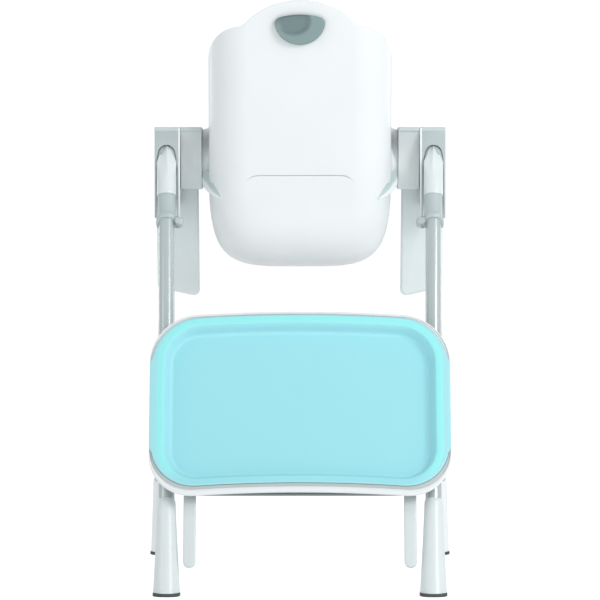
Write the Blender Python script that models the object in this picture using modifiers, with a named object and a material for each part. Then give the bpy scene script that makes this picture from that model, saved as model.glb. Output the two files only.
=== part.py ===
"""High chair on a folding A-frame, with its tray stowed on the rear legs.

Metres, +Z up, +Y towards the chair's front, origin on the floor at the middle of the footprint.
"""
import math

import bmesh
import bpy
import numpy as np
from mathutils import Matrix, Vector

for old in list(bpy.data.objects):
    bpy.data.objects.remove(old, do_unlink=True)

# Clearances
FIT = 0.0003
SLIDE = 0.0006

# Seat tub; its heights are measured from the recline axle
BODY_HALF = 0.1746
BODY_CORNER = 0.075
SHELL = 0.004
BACK_RISE = 0.2975
DOME_RADIUS = 0.146
SHOULDER_UP = 0.1825
SHOULDER_RISE = 0.066
WALL_REACH = 0.250
ARM_HALF = 0.068
ARM_RADIUS = 0.056
ARM_TIP = 0.050
HUB_LENGTH = 0.0147
HUB_FLARE = 0.007
SEAM_MID_DROP = 0.0325
SEAM_SIDE_DROP = 0.0745
SEAM_SIDE_ZONE = 0.0946
SEAM_EASE = 0.069
FLARE = 0.006
FLARE_ZONE = 0.0846
FLARE_EASE = 0.060
FLARE_HEIGHT = 0.050
BACK_SETBACK = 0.17367
BUCKET_REAR_SETBACK = 0.17687
BUCKET_HALF_Y = 0.1565
BUCKET_RIM_DROP = 0.0105
BUCKET_FRONT_DROP = 0.1475
BUCKET_FLOOR_DROP = 0.212
BUCKET_DIP_Y = 0.040
BUCKET_RISE = 0.03
NECK = 0.0078
NECK_LOW = 0.016
BOSS_X = 0.055
BOSS_WIDTH = 0.020

# Front columns: wide sleeves that carry the seat and end in the front tubes
FRONT_LEAN = math.radians(22.0)
COLUMN_TOP_Y = 0.010
COLUMN_TOP_Z = 0.862
COLUMN_DEPTH = 0.036
COLUMN_WIDTH = 0.082
COLUMN_LENGTH = 0.331
COLUMN_END_RISE = 0.018
CAP_HEIGHT = 0.005
NOTCH_PITCH = 0.040
NOTCH_COUNT = 6
NOTCH_RADIUS = 0.005

# Tubes
TUBE_RADIUS = 0.015
CROSS_RADIUS = 0.011
SOCKET_DEPTH = 0.070

# Fold hinge and leg heads
PIVOT_DROP = 0.050
PIVOT_STANDOFF = 0.032
REAR_LEAN = math.radians(22.4)
HEAD_WIDTH = 0.0455
HEAD_SETBACK = 0.0002
CHEEK = 0.0033
HEAD_REACH = 0.124
HEAD_BACK = 0.010
HEAD_PLATE = 0.005
HEAD_SKIRT = 0.025
PIN_RADIUS = 0.004

# Rear legs
KNUCKLE_LENGTH = 0.088
KNUCKLE_BORE = 0.028
COLLAR_RADIUS = 0.0172
COLLAR_TRAVEL = 0.008
COLLAR_TOP = 0.070
COLLAR_LIP = 0.137
COLLAR_END = 0.150
COLLAR_TAB = 0.033
REAR_TOE_IN = 0.01055
SHOE_LENGTH = 0.190
SHOE_HALF_X = 0.0245
SHOE_HALF_Y = 0.0285
SHOE_SOCKET = 0.060
SHOE_WALL = 0.0020
SOLE_HEIGHT = 0.009
SOLE_PROUD = 0.001

# Front legs
FRONT_TUBE_INSET = 0.0165
FRONT_SPLAY = 0.0218
BOOT_LENGTH = 0.170
BOOT_HALF_X = 0.0183
BOOT_HALF_Y = 0.0285
BOOT_SOCKET = 0.040
BOOT_WALL = 0.0022
FRONT_CROSS_Z = 0.300

# Carriages
CARRIAGE_WEB = 0.0077
CARRIAGE_GRIP = 0.0325
CARRIAGE_HEIGHT = 0.119
REAR_JAW = 0.022
FRONT_JAW = 0.052
AXLE_RADIUS = 0.009
AXLE_HEAD = 0.015
BUTTON_TRAVEL = 0.005
BUTTON_SIZE = 0.020
BUTTON_PROUD = 0.003
BUTTON_DROP = 0.028
BUTTON_INSET = 0.016
FINGER_RADIUS = 0.004
SOCKET_DROP = 0.026

# Recline handle
LEVER_HALF = 0.0475
LEVER_DROP = 0.027
LEVER_HEIGHT = 0.0585
LEVER_ARCH = 0.008
LEVER_THICK = 0.010
LEVER_GAP = 0.0015
LEVER_TOP_GAP = 0.0036
YOKE_HALF = 0.070
YOKE_RISE = 0.065

# Cushions and harness
CUSHION = 0.020
SEAT_PAD_DEPTH = 0.0465
BACK_PAD_GAP = 0.0685
BACK_PAD_DROP = 0.058
PAD_CREASE_UP = 0.0425
WEB_WIDTH = 0.025
WEB_THICK = 0.0016
STRAP_X = 0.048
STRAP_TOP_DROP = 0.148
STRAP_LOW_RISE = 0.1065
BELT_END = 0.0134
BUCKLE_WIDTH = 0.046
BUCKLE_LENGTH = 0.050
BUCKLE_THICK = 0.014

# Leg rest
LEGREST_STANDOFF = 0.0215
LEGREST_DROP = 0.024
LEGREST_LENGTH = 0.126
LEGREST_HALF = 0.100
LEGREST_THICK = 0.010
LUG_WIDTH = 0.010
LUG_HALF = 0.012

# Tray, measured along the rear legs down from the fold hinge and out from their axis
TRAY_TOP = 0.340
TRAY_LENGTH = 0.354
TRAY_OVER = 0.001
TRAY_CORNER = 0.085
TRAY_ARCH = 0.014
TRAY_UNDER = 0.023
TRAY_FACE = 0.049
TRAY_FLOOR = 0.004
TRAY_MARGIN_TOP = 0.0055
TRAY_MARGIN_SIDE = 0.004
TRAY_MARGIN_LOW = 0.0175
TRAY_LIP = 0.012
INSERT_SHEET = 0.0022
TAB_DOWN = 0.105
TAB_UP = 0.082
CROSS_DOWN = 0.100
ARM_INSET = 0.0069
ARM_WIDTH = 0.0232
ARM_THICK = 0.012
ARM_OUT = 0.136
ARM_UNDER = 0.134
HOOK_X = 0.120
HOOK_WIDTH = 0.030
HOOK_WALL = 0.004
GRIP_HALF = 0.045
GRIP_DOWN = 0.025
GRIP_LENGTH = 0.035
GRIP_THICK = 0.010

PARTS = bpy.data.collections.new("high_chair")
CUTTERS = bpy.data.collections.new("cutters")
bpy.context.scene.collection.children.link(PARTS)
bpy.context.scene.collection.children.link(CUTTERS)

LOOKS = {
    "white": ((0.85, 0.88, 0.89), 0.35, 0.0),
    "grey": ((0.23, 0.30, 0.31), 0.45, 0.0),
    "tube": ((0.62, 0.68, 0.68), 0.30, 0.6),
    "steel": ((0.55, 0.56, 0.57), 0.25, 1.0),
    "rubber": ((0.07, 0.09, 0.09), 0.75, 0.0),
    "aqua": ((0.37, 0.78, 0.84), 0.30, 0.0),
    "cloth": ((0.45, 0.76, 0.80), 0.85, 0.0),
    "web": ((0.30, 0.35, 0.36), 0.80, 0.0),
}
SIDES = (("left", -1.0), ("right", 1.0))


def home(name, point, parent=None):
    """An empty on a joint's axis, which its pieces hang from."""
    empty = bpy.data.objects.new(name, None)
    empty.empty_display_size = 0.03
    PARTS.objects.link(empty)
    empty["at"] = list(point)
    empty.location = Vector(point)
    if parent:
        empty.parent = parent
        empty.location = Vector(point) - Vector(parent["at"])
    return empty


def dress(obj, look, base):
    """Gives a piece its place, its parent and its own material."""
    colour, roughness, metallic = LOOKS[look]
    paint = bpy.data.materials.new(obj.name)
    paint.use_nodes = True
    shader = paint.node_tree.nodes["Principled BSDF"]
    shader.inputs["Base Color"].default_value = (*colour, 1.0)
    shader.inputs["Roughness"].default_value = roughness
    shader.inputs["Metallic"].default_value = metallic
    obj.data.materials.append(paint)
    PARTS.objects.link(obj)
    obj.parent = base
    return obj


def part(name, mesh, look, base):
    """A piece whose mesh is given in world coordinates."""
    mesh.transform(Matrix.Translation(-Vector(base["at"])))
    return dress(bpy.data.objects.new(name, mesh), look, base)


def cutter(name, mesh):
    obj = bpy.data.objects.new(name, mesh)
    obj.display_type = "WIRE"
    obj.hide_render = True
    CUTTERS.objects.link(obj)
    return obj


def combine(obj, other, operation="DIFFERENCE"):
    mod = obj.modifiers.new(other.name, "BOOLEAN")
    mod.operation = operation
    mod.solver = "EXACT"
    mod.object = other


def bevel(obj, width, segments=2, degrees=40.0):
    mod = obj.modifiers.new("edges", "BEVEL")
    mod.width = width
    mod.segments = segments
    mod.limit_method = "ANGLE"
    mod.angle_limit = math.radians(degrees)


def thicken(obj, thickness):
    mod = obj.modifiers.new("wall", "SOLIDIFY")
    mod.thickness = thickness
    mod.offset = -1.0
    mod.use_even_offset = True


def tidy(mesh):
    """Joins points that meet and turns every face outward."""
    bm = bmesh.new()
    bm.from_mesh(mesh)
    bmesh.ops.remove_doubles(bm, verts=bm.verts, dist=0.000001)
    bmesh.ops.recalc_face_normals(bm, faces=bm.faces)
    bm.to_mesh(mesh)
    bm.free()
    return mesh


def box(size, matrix):
    bm = bmesh.new()
    bmesh.ops.create_cube(bm, size=1.0, matrix=matrix @ Matrix.Diagonal((*size, 1.0)))
    mesh = bpy.data.meshes.new("box")
    bm.to_mesh(mesh)
    bm.free()
    return mesh


def rod(radius, start, end, sides=20, radius_end=None):
    """A round bar, or a cone, between two points."""
    start = Vector(start)
    end = Vector(end)
    along = end - start
    turn = along.to_track_quat("Z", "Y").to_matrix().to_4x4()
    bm = bmesh.new()
    bmesh.ops.create_cone(
        bm,
        cap_ends=True,
        segments=sides,
        radius1=radius,
        radius2=radius if radius_end is None else radius_end,
        depth=along.length,
        matrix=Matrix.Translation((start + end) / 2) @ turn,
    )
    mesh = bpy.data.meshes.new("rod")
    bm.to_mesh(mesh)
    bm.free()
    return mesh


def ball(radius, centre, around=20, down=10):
    bm = bmesh.new()
    place = Matrix.Translation(centre)
    bmesh.ops.create_uvsphere(bm, u_segments=around, v_segments=down, radius=radius, matrix=place)
    mesh = bpy.data.meshes.new("ball")
    bm.to_mesh(mesh)
    bm.free()
    return mesh


def outline(points, thickness):
    """A flat outline in XY, as thick as given along Z and centred on it."""
    curve = bpy.data.curves.new("outline", "CURVE")
    curve.dimensions = "2D"
    curve.fill_mode = "BOTH"
    curve.extrude = thickness / 2
    spline = curve.splines.new("POLY")
    spline.points.add(len(points) - 1)
    for point, (a, b) in zip(spline.points, points):
        point.co = (a, b, 0.0, 1.0)
    spline.use_cyclic_u = True
    holder = bpy.data.objects.new("outline", curve)
    mesh = bpy.data.meshes.new_from_object(holder)
    bpy.data.objects.remove(holder)
    return tidy(mesh)


def rounded(points, radii, steps=5):
    """A polygon with an arc at each corner."""
    result = []
    count = len(points)
    for i in range(count):
        here = Vector(points[i])
        before = (Vector(points[i - 1]) - here).normalized()
        after = (Vector(points[(i + 1) % count]) - here).normalized()
        radius = radii[i]
        if radius == 0.0:
            result.append(tuple(here))
            continue
        half = before.angle(after) / 2
        reach = radius / math.tan(half)
        centre = here + (before + after).normalized() * radius / math.sin(half)
        first = here + before * reach - centre
        last = here + after * reach - centre
        swing = first.angle_signed(last)
        for k in range(steps + 1):
            turned_by = Matrix.Rotation(-swing * k / steps, 2)
            result.append(tuple(centre + turned_by @ first))
    return result


SIDE_VIEW = Matrix(((0, 0, 1, 0), (1, 0, 0, 0), (0, 1, 0, 0), (0, 0, 0, 1)))


def side_plate(points, x0, x1):
    """An outline drawn in Y and Z, as wide as from x0 to x1."""
    mesh = outline(points, abs(x1 - x0))
    mesh.transform(Matrix.Translation(((x0 + x1) / 2, 0, 0)) @ SIDE_VIEW)
    return mesh


def loft(rings, closed_ends=True):
    """Faces between rings with the same number of points."""
    size = len(rings[0])
    points = [tuple(p) for ring in rings for p in ring]
    faces = []
    for r in range(len(rings) - 1):
        for k in range(size):
            n = (k + 1) % size
            faces.append((r * size + k, r * size + n, (r + 1) * size + n, (r + 1) * size + k))
    if closed_ends:
        faces.append(tuple(reversed(range(size))))
        faces.append(tuple(range((len(rings) - 1) * size, len(rings) * size)))
    mesh = bpy.data.meshes.new("loft")
    mesh.from_pydata(points, [], faces)
    return mesh


def grid_faces(rows, columns, first=0):
    faces = []
    for r in range(rows - 1):
        for c in range(columns - 1):
            a = first + r * columns + c
            faces.append((a, a + 1, a + columns + 1, a + columns))
    return faces


def sheet(points, inside):
    """An open surface on a grid of points, facing away from a point inside."""
    rows, columns = points.shape[:2]
    flat = points.reshape(-1, 3)
    faces = grid_faces(rows, columns)
    a, b, c = (Vector(flat[i]) for i in faces[len(faces) // 2][:3])
    if (b - a).cross(c - a).dot(a - Vector(inside)) < 0:
        faces = [tuple(reversed(f)) for f in faces]
    mesh = bpy.data.meshes.new("sheet")
    mesh.from_pydata([tuple(p) for p in flat], [], faces)
    return mesh


def slab(under, over):
    """A closed body between two grids of points with the same border."""
    rows, columns = under.shape[:2]
    count = rows * columns
    points = [tuple(p) for p in under.reshape(-1, 3)] + [tuple(p) for p in over.reshape(-1, 3)]
    faces = [tuple(reversed(f)) for f in grid_faces(rows, columns)] + grid_faces(rows, columns, count)
    border = list(range(columns))
    border += [r * columns + columns - 1 for r in range(1, rows)]
    border += [(rows - 1) * columns + c for c in range(columns - 2, -1, -1)]
    border += [r * columns for r in range(rows - 2, 0, -1)]
    for k in range(len(border)):
        a = border[k]
        b = border[(k + 1) % len(border)]
        faces.append((a, b, b + count, a + count))
    mesh = bpy.data.meshes.new("slab")
    mesh.from_pydata(points, [], faces)
    return tidy(mesh)


def ribbon(centres, across, lift, width, thick):
    """A flat band along a path, with the direction of its width and of its face at each point."""
    rings = []
    for centre, side, up in zip(centres, across, lift):
        centre = Vector(centre)
        side = Vector(side).normalized() * width / 2
        up = Vector(up).normalized() * thick / 2
        rings.append([centre - side - up, centre + side - up, centre + side + up, centre - side + up])
    return tidy(loft(rings))


def turned(name, profile, frame, look, base, steps=20):
    """A body turned about the frame's own Z from a profile that runs down its outer side."""
    mesh = bpy.data.meshes.new(name)
    mesh.from_pydata([(r, 0.0, z) for r, z in profile], [(i, i + 1) for i in range(len(profile) - 1)], [])
    obj = bpy.data.objects.new(name, mesh)
    obj.matrix_basis = Matrix.Translation(-Vector(base["at"])) @ frame
    mod = obj.modifiers.new("turn", "SCREW")
    mod.axis = "Z"
    mod.steps = steps
    mod.render_steps = steps
    mod.use_merge_vertices = True
    mod.merge_threshold = 0.00001
    return dress(obj, look, base)


def tube(name, points, radius, look, base, resolution=4):
    """A round tube with closed ends along a path of points."""
    curve = bpy.data.curves.new(name, "CURVE")
    curve.dimensions = "3D"
    curve.bevel_depth = radius
    curve.bevel_resolution = resolution
    curve.use_fill_caps = True
    spline = curve.splines.new("POLY")
    spline.points.add(len(points) - 1)
    for point, place in zip(spline.points, points):
        point.co = (*(Vector(place) - Vector(base["at"])), 1.0)
    return dress(bpy.data.objects.new(name, curve), look, base)


def frame_on(origin, up):
    """Axes with Z along the given direction and X kept as near the world's X as it can be."""
    up = Vector(up).normalized()
    right = Vector((1, 0, 0))
    right = (right - up * right.dot(up)).normalized()
    front = up.cross(right)
    axes = Matrix((right, front, up)).transposed().to_4x4()
    return Matrix.Translation(origin) @ axes


def ease(t):
    t = min(max(t, 0.0), 1.0)
    return t * t * (3 - 2 * t)


def column_y(z, offset=0.0):
    """Y of the column's axis, or of a plane square to it, at a height."""
    return COLUMN_TOP_Y + (COLUMN_TOP_Z - z) * math.tan(FRONT_LEAN) + offset / math.cos(FRONT_LEAN)


# Places that several pieces share
CARRIAGE_INNER = BODY_HALF + HUB_LENGTH
COLUMN_INNER = CARRIAGE_INNER + CARRIAGE_WEB
COLUMN_OUTER = COLUMN_INNER + COLUMN_WIDTH
CARRIAGE_OUTER = COLUMN_INNER + CARRIAGE_GRIP
COLUMN_END_Z = COLUMN_TOP_Z - COLUMN_LENGTH
CARRIAGE_BOTTOM_Z = COLUMN_TOP_Z - CARRIAGE_HEIGHT
PIVOT_Z = COLUMN_TOP_Z - PIVOT_DROP
HEAD_OUTER = COLUMN_OUTER - HEAD_SETBACK
HEAD_INNER = HEAD_OUTER - HEAD_WIDTH
TOE_ROOM = REAR_TOE_IN * HEAD_REACH / PIVOT_Z
HEAD_FACE = HEAD_INNER - TOE_ROOM
FRONT_TOP_X = COLUMN_OUTER - FRONT_TUBE_INSET
FRONT_FOOT_X = FRONT_TOP_X + FRONT_SPLAY
REAR_FACE = -COLUMN_DEPTH / 2
FRONT_FACE = COLUMN_DEPTH / 2
PIVOT_Y = column_y(PIVOT_Z, REAR_FACE - PIVOT_STANDOFF)
REAR_TOP_X = (HEAD_INNER + HEAD_OUTER) / 2
REAR_FOOT_X = REAR_TOP_X - REAR_TOE_IN
KNUCKLE_RADIUS = (HEAD_OUTER - HEAD_INNER) / 2 - CHEEK - SLIDE
REAR_FOOT_Y = PIVOT_Y - PIVOT_Z * math.tan(REAR_LEAN)
FRONT_FOOT_Y = column_y(0.0)
AXLE_Z = (COLUMN_TOP_Z + CARRIAGE_BOTTOM_Z) / 2
AXLE_Y = column_y(AXLE_Z, FRONT_FACE + FRONT_JAW * 0.48)
BACK_TOP_Z = AXLE_Z + BACK_RISE
SHOULDER_Z = AXLE_Z + SHOULDER_UP
SEAM_MID_Z = AXLE_Z - SEAM_MID_DROP
SEAM_SIDE_Z = AXLE_Z - SEAM_SIDE_DROP
BUCKET_RIM_Z = AXLE_Z - BUCKET_RIM_DROP
BUCKET_FRONT_Z = AXLE_Z - BUCKET_FRONT_DROP
BUCKET_FLOOR_Z = AXLE_Z - BUCKET_FLOOR_DROP
BUCKET_MID_Y = AXLE_Y - BUCKET_REAR_SETBACK + BUCKET_HALF_Y
LEGREST_Y = BUCKET_MID_Y + BUCKET_HALF_Y + LEGREST_STANDOFF
LEGREST_Z = BUCKET_FRONT_Z - LEGREST_DROP
LEVER_TOP_Z = BACK_TOP_Z - LEVER_DROP
LEVER_BOTTOM_Z = LEVER_TOP_Z - LEVER_HEIGHT
TRAY_BOTTOM = TRAY_TOP + TRAY_LENGTH
TRAY_HALF = COLUMN_OUTER + TRAY_OVER
TAB_TOP = TRAY_TOP + TAB_DOWN
TAB_LOW = TRAY_BOTTOM - TAB_UP
REAR_CROSS_AT = TRAY_TOP + CROSS_DOWN
ARM_X = COLUMN_INNER + ARM_INSET
ARM_START = TRAY_BOTTOM - ARM_UNDER
ARM_END = TRAY_BOTTOM + ARM_OUT
PIVOT = Vector((0.0, PIVOT_Y, PIVOT_Z))
AXLE = Vector((0.0, AXLE_Y, AXLE_Z))
DOWN_COLUMN = Vector((0.0, math.sin(FRONT_LEAN), -math.cos(FRONT_LEAN)))
LEG_UP = Vector((0.0, math.sin(REAR_LEAN), math.cos(REAR_LEAN)))
LEG_OUT = Vector((0.0, -math.cos(REAR_LEAN), math.sin(REAR_LEAN)))
TRAY_FRAME = Matrix.Translation(PIVOT) @ Matrix((Vector((1, 0, 0)), LEG_UP, LEG_OUT)).transposed().to_4x4()

# Joint axes
stand = home("stand", (0.0, 0.0, 0.0))
rear_axis = home("fold_axis", PIVOT, stand)
lift_axis = home("height_slide", (0.0, COLUMN_TOP_Y, COLUMN_TOP_Z), stand)
seat_axis = home("recline_axis", AXLE, lift_axis)
tray_axis = home("tray_hang", TRAY_FRAME @ Vector((0.0, -REAR_CROSS_AT, 0.0)), rear_axis)
tray_middle = TRAY_FRAME @ Vector((0.0, -(TRAY_TOP + TRAY_BOTTOM) / 2, TRAY_FACE))
insert_axis = home("insert_lift", tray_middle, tray_axis)
legrest_axis = home("legrest_axis", (0.0, LEGREST_Y, LEGREST_Z), seat_axis)


def foot_rings(frame, length, neck, half_x, half_y):
    """Rings down a leg from a round neck to a wider oval foot."""
    rings = []
    for t in (0.0, 0.03, 0.25, 0.50, 0.75, 1.0):
        grow = t ** 1.7
        x = neck - 0.0012 * (t == 0.0) + (half_x - neck) * grow
        y = neck - 0.0012 * (t == 0.0) + (half_y - neck) * grow
        z = -length * t
        ring = []
        for k in range(20):
            angle = math.tau * k / 20
            ring.append(frame @ Vector((x * math.cos(angle), y * math.sin(angle), z)))
        rings.append(ring)
    return rings


def sole_outline(x, y, half_x, half_y):
    """A rounded oblong."""
    points = []
    for k in range(20):
        angle = math.tau * k / 20
        c = math.cos(angle)
        s = math.sin(angle)
        across = half_x * math.copysign(abs(c) ** 0.75, c)
        along = half_y * math.copysign(abs(s) ** 0.75, s)
        points.append((x + across, y + along))
    return points


below_floor = cutter("below_soles", box((1.0, 1.4, 0.4), Matrix.Translation((0, 0, SOLE_HEIGHT - 0.2))))

for side, sign in SIDES:
    # Column: a leaning sleeve with a level top, a slanted lower end and a socket for the front tube
    rear = REAR_FACE
    front = FRONT_FACE
    top = COLUMN_TOP_Z - CAP_HEIGHT - FIT
    ends = [
        (column_y(top, rear), top),
        (column_y(COLUMN_END_Z, rear), COLUMN_END_Z),
        (column_y(COLUMN_END_Z, front), COLUMN_END_Z),
        (column_y(top, front), top),
    ]
    column = part(
        f"column_{side}",
        side_plate(rounded(ends, (0.0, 0.008, 0.008, 0.0), 3), sign * COLUMN_INNER, sign * COLUMN_OUTER),
        "white",
        stand,
    )
    tilt = math.atan2(COLUMN_END_RISE, COLUMN_OUTER - COLUMN_INNER)
    low = box(
        (0.3, 0.3, 0.1),
        Matrix.Translation((sign * COLUMN_OUTER, column_y(COLUMN_END_Z), COLUMN_END_Z + COLUMN_END_RISE))
        @ Matrix.Rotation(-sign * tilt, 4, "Y")
        @ Matrix.Translation((0, 0, -0.05)),
    )
    combine(column, cutter(f"column_end_{side}", low))
    bevel(column, 0.005, 2, 50)
    tube_x = sign * FRONT_TOP_X
    socket_z = COLUMN_END_Z + SOCKET_DEPTH
    socket_top = Vector((tube_x, column_y(socket_z), socket_z))
    socket_end = socket_top + DOWN_COLUMN * (SOCKET_DEPTH + 0.03)
    combine(column, cutter(f"socket_{side}", rod(TUBE_RADIUS + FIT, socket_top, socket_end)))
    for notch in range(NOTCH_COUNT):
        at_z = AXLE_Z - BUTTON_DROP - notch * NOTCH_PITCH * math.cos(FRONT_LEAN)
        mouth = Vector((sign * (COLUMN_INNER + BUTTON_INSET), column_y(at_z, FRONT_FACE), at_z))
        inward = Vector((0.0, math.cos(FRONT_LEAN), math.sin(FRONT_LEAN)))
        hole = rod(NOTCH_RADIUS, mouth - inward * 0.008, mouth + inward * 0.01, 12)
        combine(column, cutter(f"notch_{side}_{notch}", hole))

    # Cap that closes the column's top
    cap_low = COLUMN_TOP_Z - CAP_HEIGHT
    cap_side = [
        (column_y(COLUMN_TOP_Z, rear), COLUMN_TOP_Z),
        (column_y(cap_low, rear), cap_low),
        (column_y(cap_low, front), cap_low),
        (column_y(COLUMN_TOP_Z, front), COLUMN_TOP_Z),
    ]
    cap_mesh = side_plate(cap_side, sign * COLUMN_INNER, sign * COLUMN_OUTER)
    cap = part(f"column_cap_{side}", cap_mesh, "white", stand)
    bevel(cap, 0.0015, 2)

    # Front tube: straight in its socket, then splayed outward to the foot
    foot = Vector((sign * FRONT_FOOT_X, FRONT_FOOT_Y, 0.0))
    bend = Vector((tube_x, column_y(COLUMN_END_Z), COLUMN_END_Z)) + DOWN_COLUMN * 0.012
    splay = (foot - bend).normalized()
    route = [
        socket_top + DOWN_COLUMN * FIT * 2,
        bend - DOWN_COLUMN * 0.004,
        bend + splay * 0.004,
        foot - splay * BOOT_SOCKET,
    ]
    tube(f"front_tube_{side}", route, TUBE_RADIUS, "tube", stand)

    # Boot and sole of the front leg
    boot_frame = frame_on(foot - splay * BOOT_LENGTH, -splay)
    boot_rings = foot_rings(boot_frame, BOOT_LENGTH + 0.02, TUBE_RADIUS + BOOT_WALL, BOOT_HALF_X, BOOT_HALF_Y)
    boot = part(f"front_boot_{side}", tidy(loft(boot_rings)), "white", stand)
    combine(boot, below_floor)
    bore = rod(TUBE_RADIUS + FIT, foot - splay * (BOOT_LENGTH + 0.02), foot - splay * (BOOT_SOCKET - FIT * 2))
    combine(boot, cutter(f"boot_bore_{side}", bore))
    sole_mesh = outline(
        sole_outline(foot.x, foot.y, BOOT_HALF_X + SOLE_PROUD, BOOT_HALF_Y + SOLE_PROUD + 0.0005),
        SOLE_HEIGHT - FIT,
    )
    sole_mesh.transform(Matrix.Translation((0, 0, (SOLE_HEIGHT - FIT) / 2)))
    bevel(part(f"front_sole_{side}", sole_mesh, "rubber", stand), 0.0015, 1, 60)

    # Leg head: two cheeks, a bridge and a back plate round the fold hinge
    plate_y = PIVOT_Y - HEAD_BACK
    start = math.atan2(-math.sqrt(HEAD_REACH**2 - HEAD_BACK**2), -HEAD_BACK)
    gap = PIVOT_STANDOFF - FIT
    down = math.atan2(-math.cos(FRONT_LEAN), math.sin(FRONT_LEAN))
    stop = down + math.asin(gap / HEAD_REACH)
    side_points = [(plate_y, COLUMN_TOP_Z)]
    for k in range(9):
        angle = start + (stop - start) * k / 8
        side_points.append((PIVOT_Y + HEAD_REACH * math.cos(angle), PIVOT_Z + HEAD_REACH * math.sin(angle)))
    side_points.append((column_y(COLUMN_TOP_Z, REAR_FACE - FIT), COLUMN_TOP_Z))
    head_mesh = side_plate(side_points, sign * HEAD_FACE, sign * HEAD_OUTER)
    head = part(f"leg_head_{side}", head_mesh, "white", stand)
    bevel(head, 0.0022, 2, 50)
    hinge = Vector((sign * REAR_TOP_X, PIVOT_Y, PIVOT_Z))
    rear_foot = Vector((sign * REAR_FOOT_X, REAR_FOOT_Y, 0.0))
    leg = frame_on(hinge, hinge - rear_foot)
    wide = HEAD_OUTER - HEAD_FACE - 2 * CHEEK
    head_x = sign * (HEAD_OUTER + HEAD_FACE) / 2
    hollow_top = PIVOT_Z + KNUCKLE_RADIUS + SLIDE
    inner = box(
        (wide, 0.20, 0.20),
        Matrix.Translation((head_x, plate_y + HEAD_PLATE + 0.10, hollow_top - 0.10)),
    )
    combine(head, cutter(f"head_hollow_{side}", inner))
    lower = box((wide, 0.30, 0.20), Matrix.Translation((head_x, plate_y, PIVOT_Z - HEAD_SKIRT - 0.10)))
    combine(head, cutter(f"head_open_{side}", lower))
    arch = rod(KNUCKLE_RADIUS + SLIDE, hinge, leg @ Vector((0, 0, -0.16)), 20)
    combine(head, cutter(f"head_arch_{side}", arch))
    combine(head, cutter(f"head_cup_{side}", ball(KNUCKLE_RADIUS + SLIDE, hinge)))
    eye = rod(PIN_RADIUS + FIT, hinge - Vector((0.04, 0, 0)), hinge + Vector((0.04, 0, 0)), 16)
    eye_cutter = cutter(f"fold_eye_{side}", eye)
    combine(head, eye_cutter)
    half_pin = (HEAD_OUTER - HEAD_INNER) / 2
    pin = rod(PIN_RADIUS, hinge - Vector((half_pin, 0, 0)), hinge + Vector((half_pin, 0, 0)), 16)
    part(f"fold_pin_{side}", pin, "steel", stand)

    # Knuckle: a round-topped socket on the rear tube, with a skirt that the collar slides in
    skirt = COLLAR_RADIUS + SLIDE / 2
    skirt_top = -COLLAR_TOP + COLLAR_TRAVEL + 0.002
    bore_top = -KNUCKLE_BORE
    profile = []
    for k in range(6):
        angle = math.pi / 2 * (1 - k / 5)
        profile.append((KNUCKLE_RADIUS * math.cos(angle), KNUCKLE_RADIUS * math.sin(angle)))
    profile[0] = (0.0, KNUCKLE_RADIUS)
    profile += [(KNUCKLE_RADIUS, -KNUCKLE_LENGTH + 0.001), (KNUCKLE_RADIUS - 0.0006, -KNUCKLE_LENGTH)]
    profile += [(skirt, -KNUCKLE_LENGTH), (skirt, skirt_top)]
    profile += [(TUBE_RADIUS + FIT, skirt_top), (TUBE_RADIUS + FIT, bore_top), (0.0, bore_top)]
    knuckle = turned(f"rear_knuckle_{side}", profile, leg, "white", rear_axis)
    combine(knuckle, eye_cutter)

    # Rear tube, from the knuckle's bore into the shoe
    leg_length = (hinge - rear_foot).length
    tube_end = -leg_length + SHOE_SOCKET
    tube(
        f"rear_tube_{side}",
        [leg @ Vector((0, 0, bore_top - FIT)), leg @ Vector((0, 0, tube_end))],
        TUBE_RADIUS,
        "tube",
        rear_axis,
    )

    # Collar with a flared lip and a finger tab towards the chair's middle
    collar_axis = home(f"collar_slide_{side}", leg @ Vector((0, 0, -COLLAR_LIP)), rear_axis)
    inner_radius = TUBE_RADIUS + FIT
    collar_profile = [
        (inner_radius, -COLLAR_TOP),
        (COLLAR_RADIUS - 0.0006, -COLLAR_TOP),
        (COLLAR_RADIUS, -COLLAR_TOP - 0.001),
        (COLLAR_RADIUS, -COLLAR_LIP + 0.010),
        (COLLAR_RADIUS + 0.0018, -COLLAR_LIP + 0.002),
        (COLLAR_RADIUS + 0.0030, -COLLAR_LIP - 0.006),
        (COLLAR_RADIUS + 0.0030, -COLLAR_END + 0.002),
        (COLLAR_RADIUS + 0.0015, -COLLAR_END),
        (inner_radius, -COLLAR_END),
        (inner_radius, -COLLAR_TOP),
    ]
    collar = turned(f"fold_collar_{side}", collar_profile, leg, "grey", collar_axis)
    tab_points = rounded(
        [(-COLLAR_TAB, -0.010), (-COLLAR_RADIUS, -0.014), (-COLLAR_RADIUS, 0.014), (-COLLAR_TAB, 0.010)],
        (0.008, 0.0, 0.0, 0.008),
        4,
    )
    tab_mesh = outline([(sign * a, b) for a, b in tab_points], 0.006)
    tab_mesh.transform(leg @ Matrix.Translation((0, 0, -COLLAR_END + 0.005)))
    combine(collar, cutter(f"collar_tab_{side}", tidy(tab_mesh)), "UNION")

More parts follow.
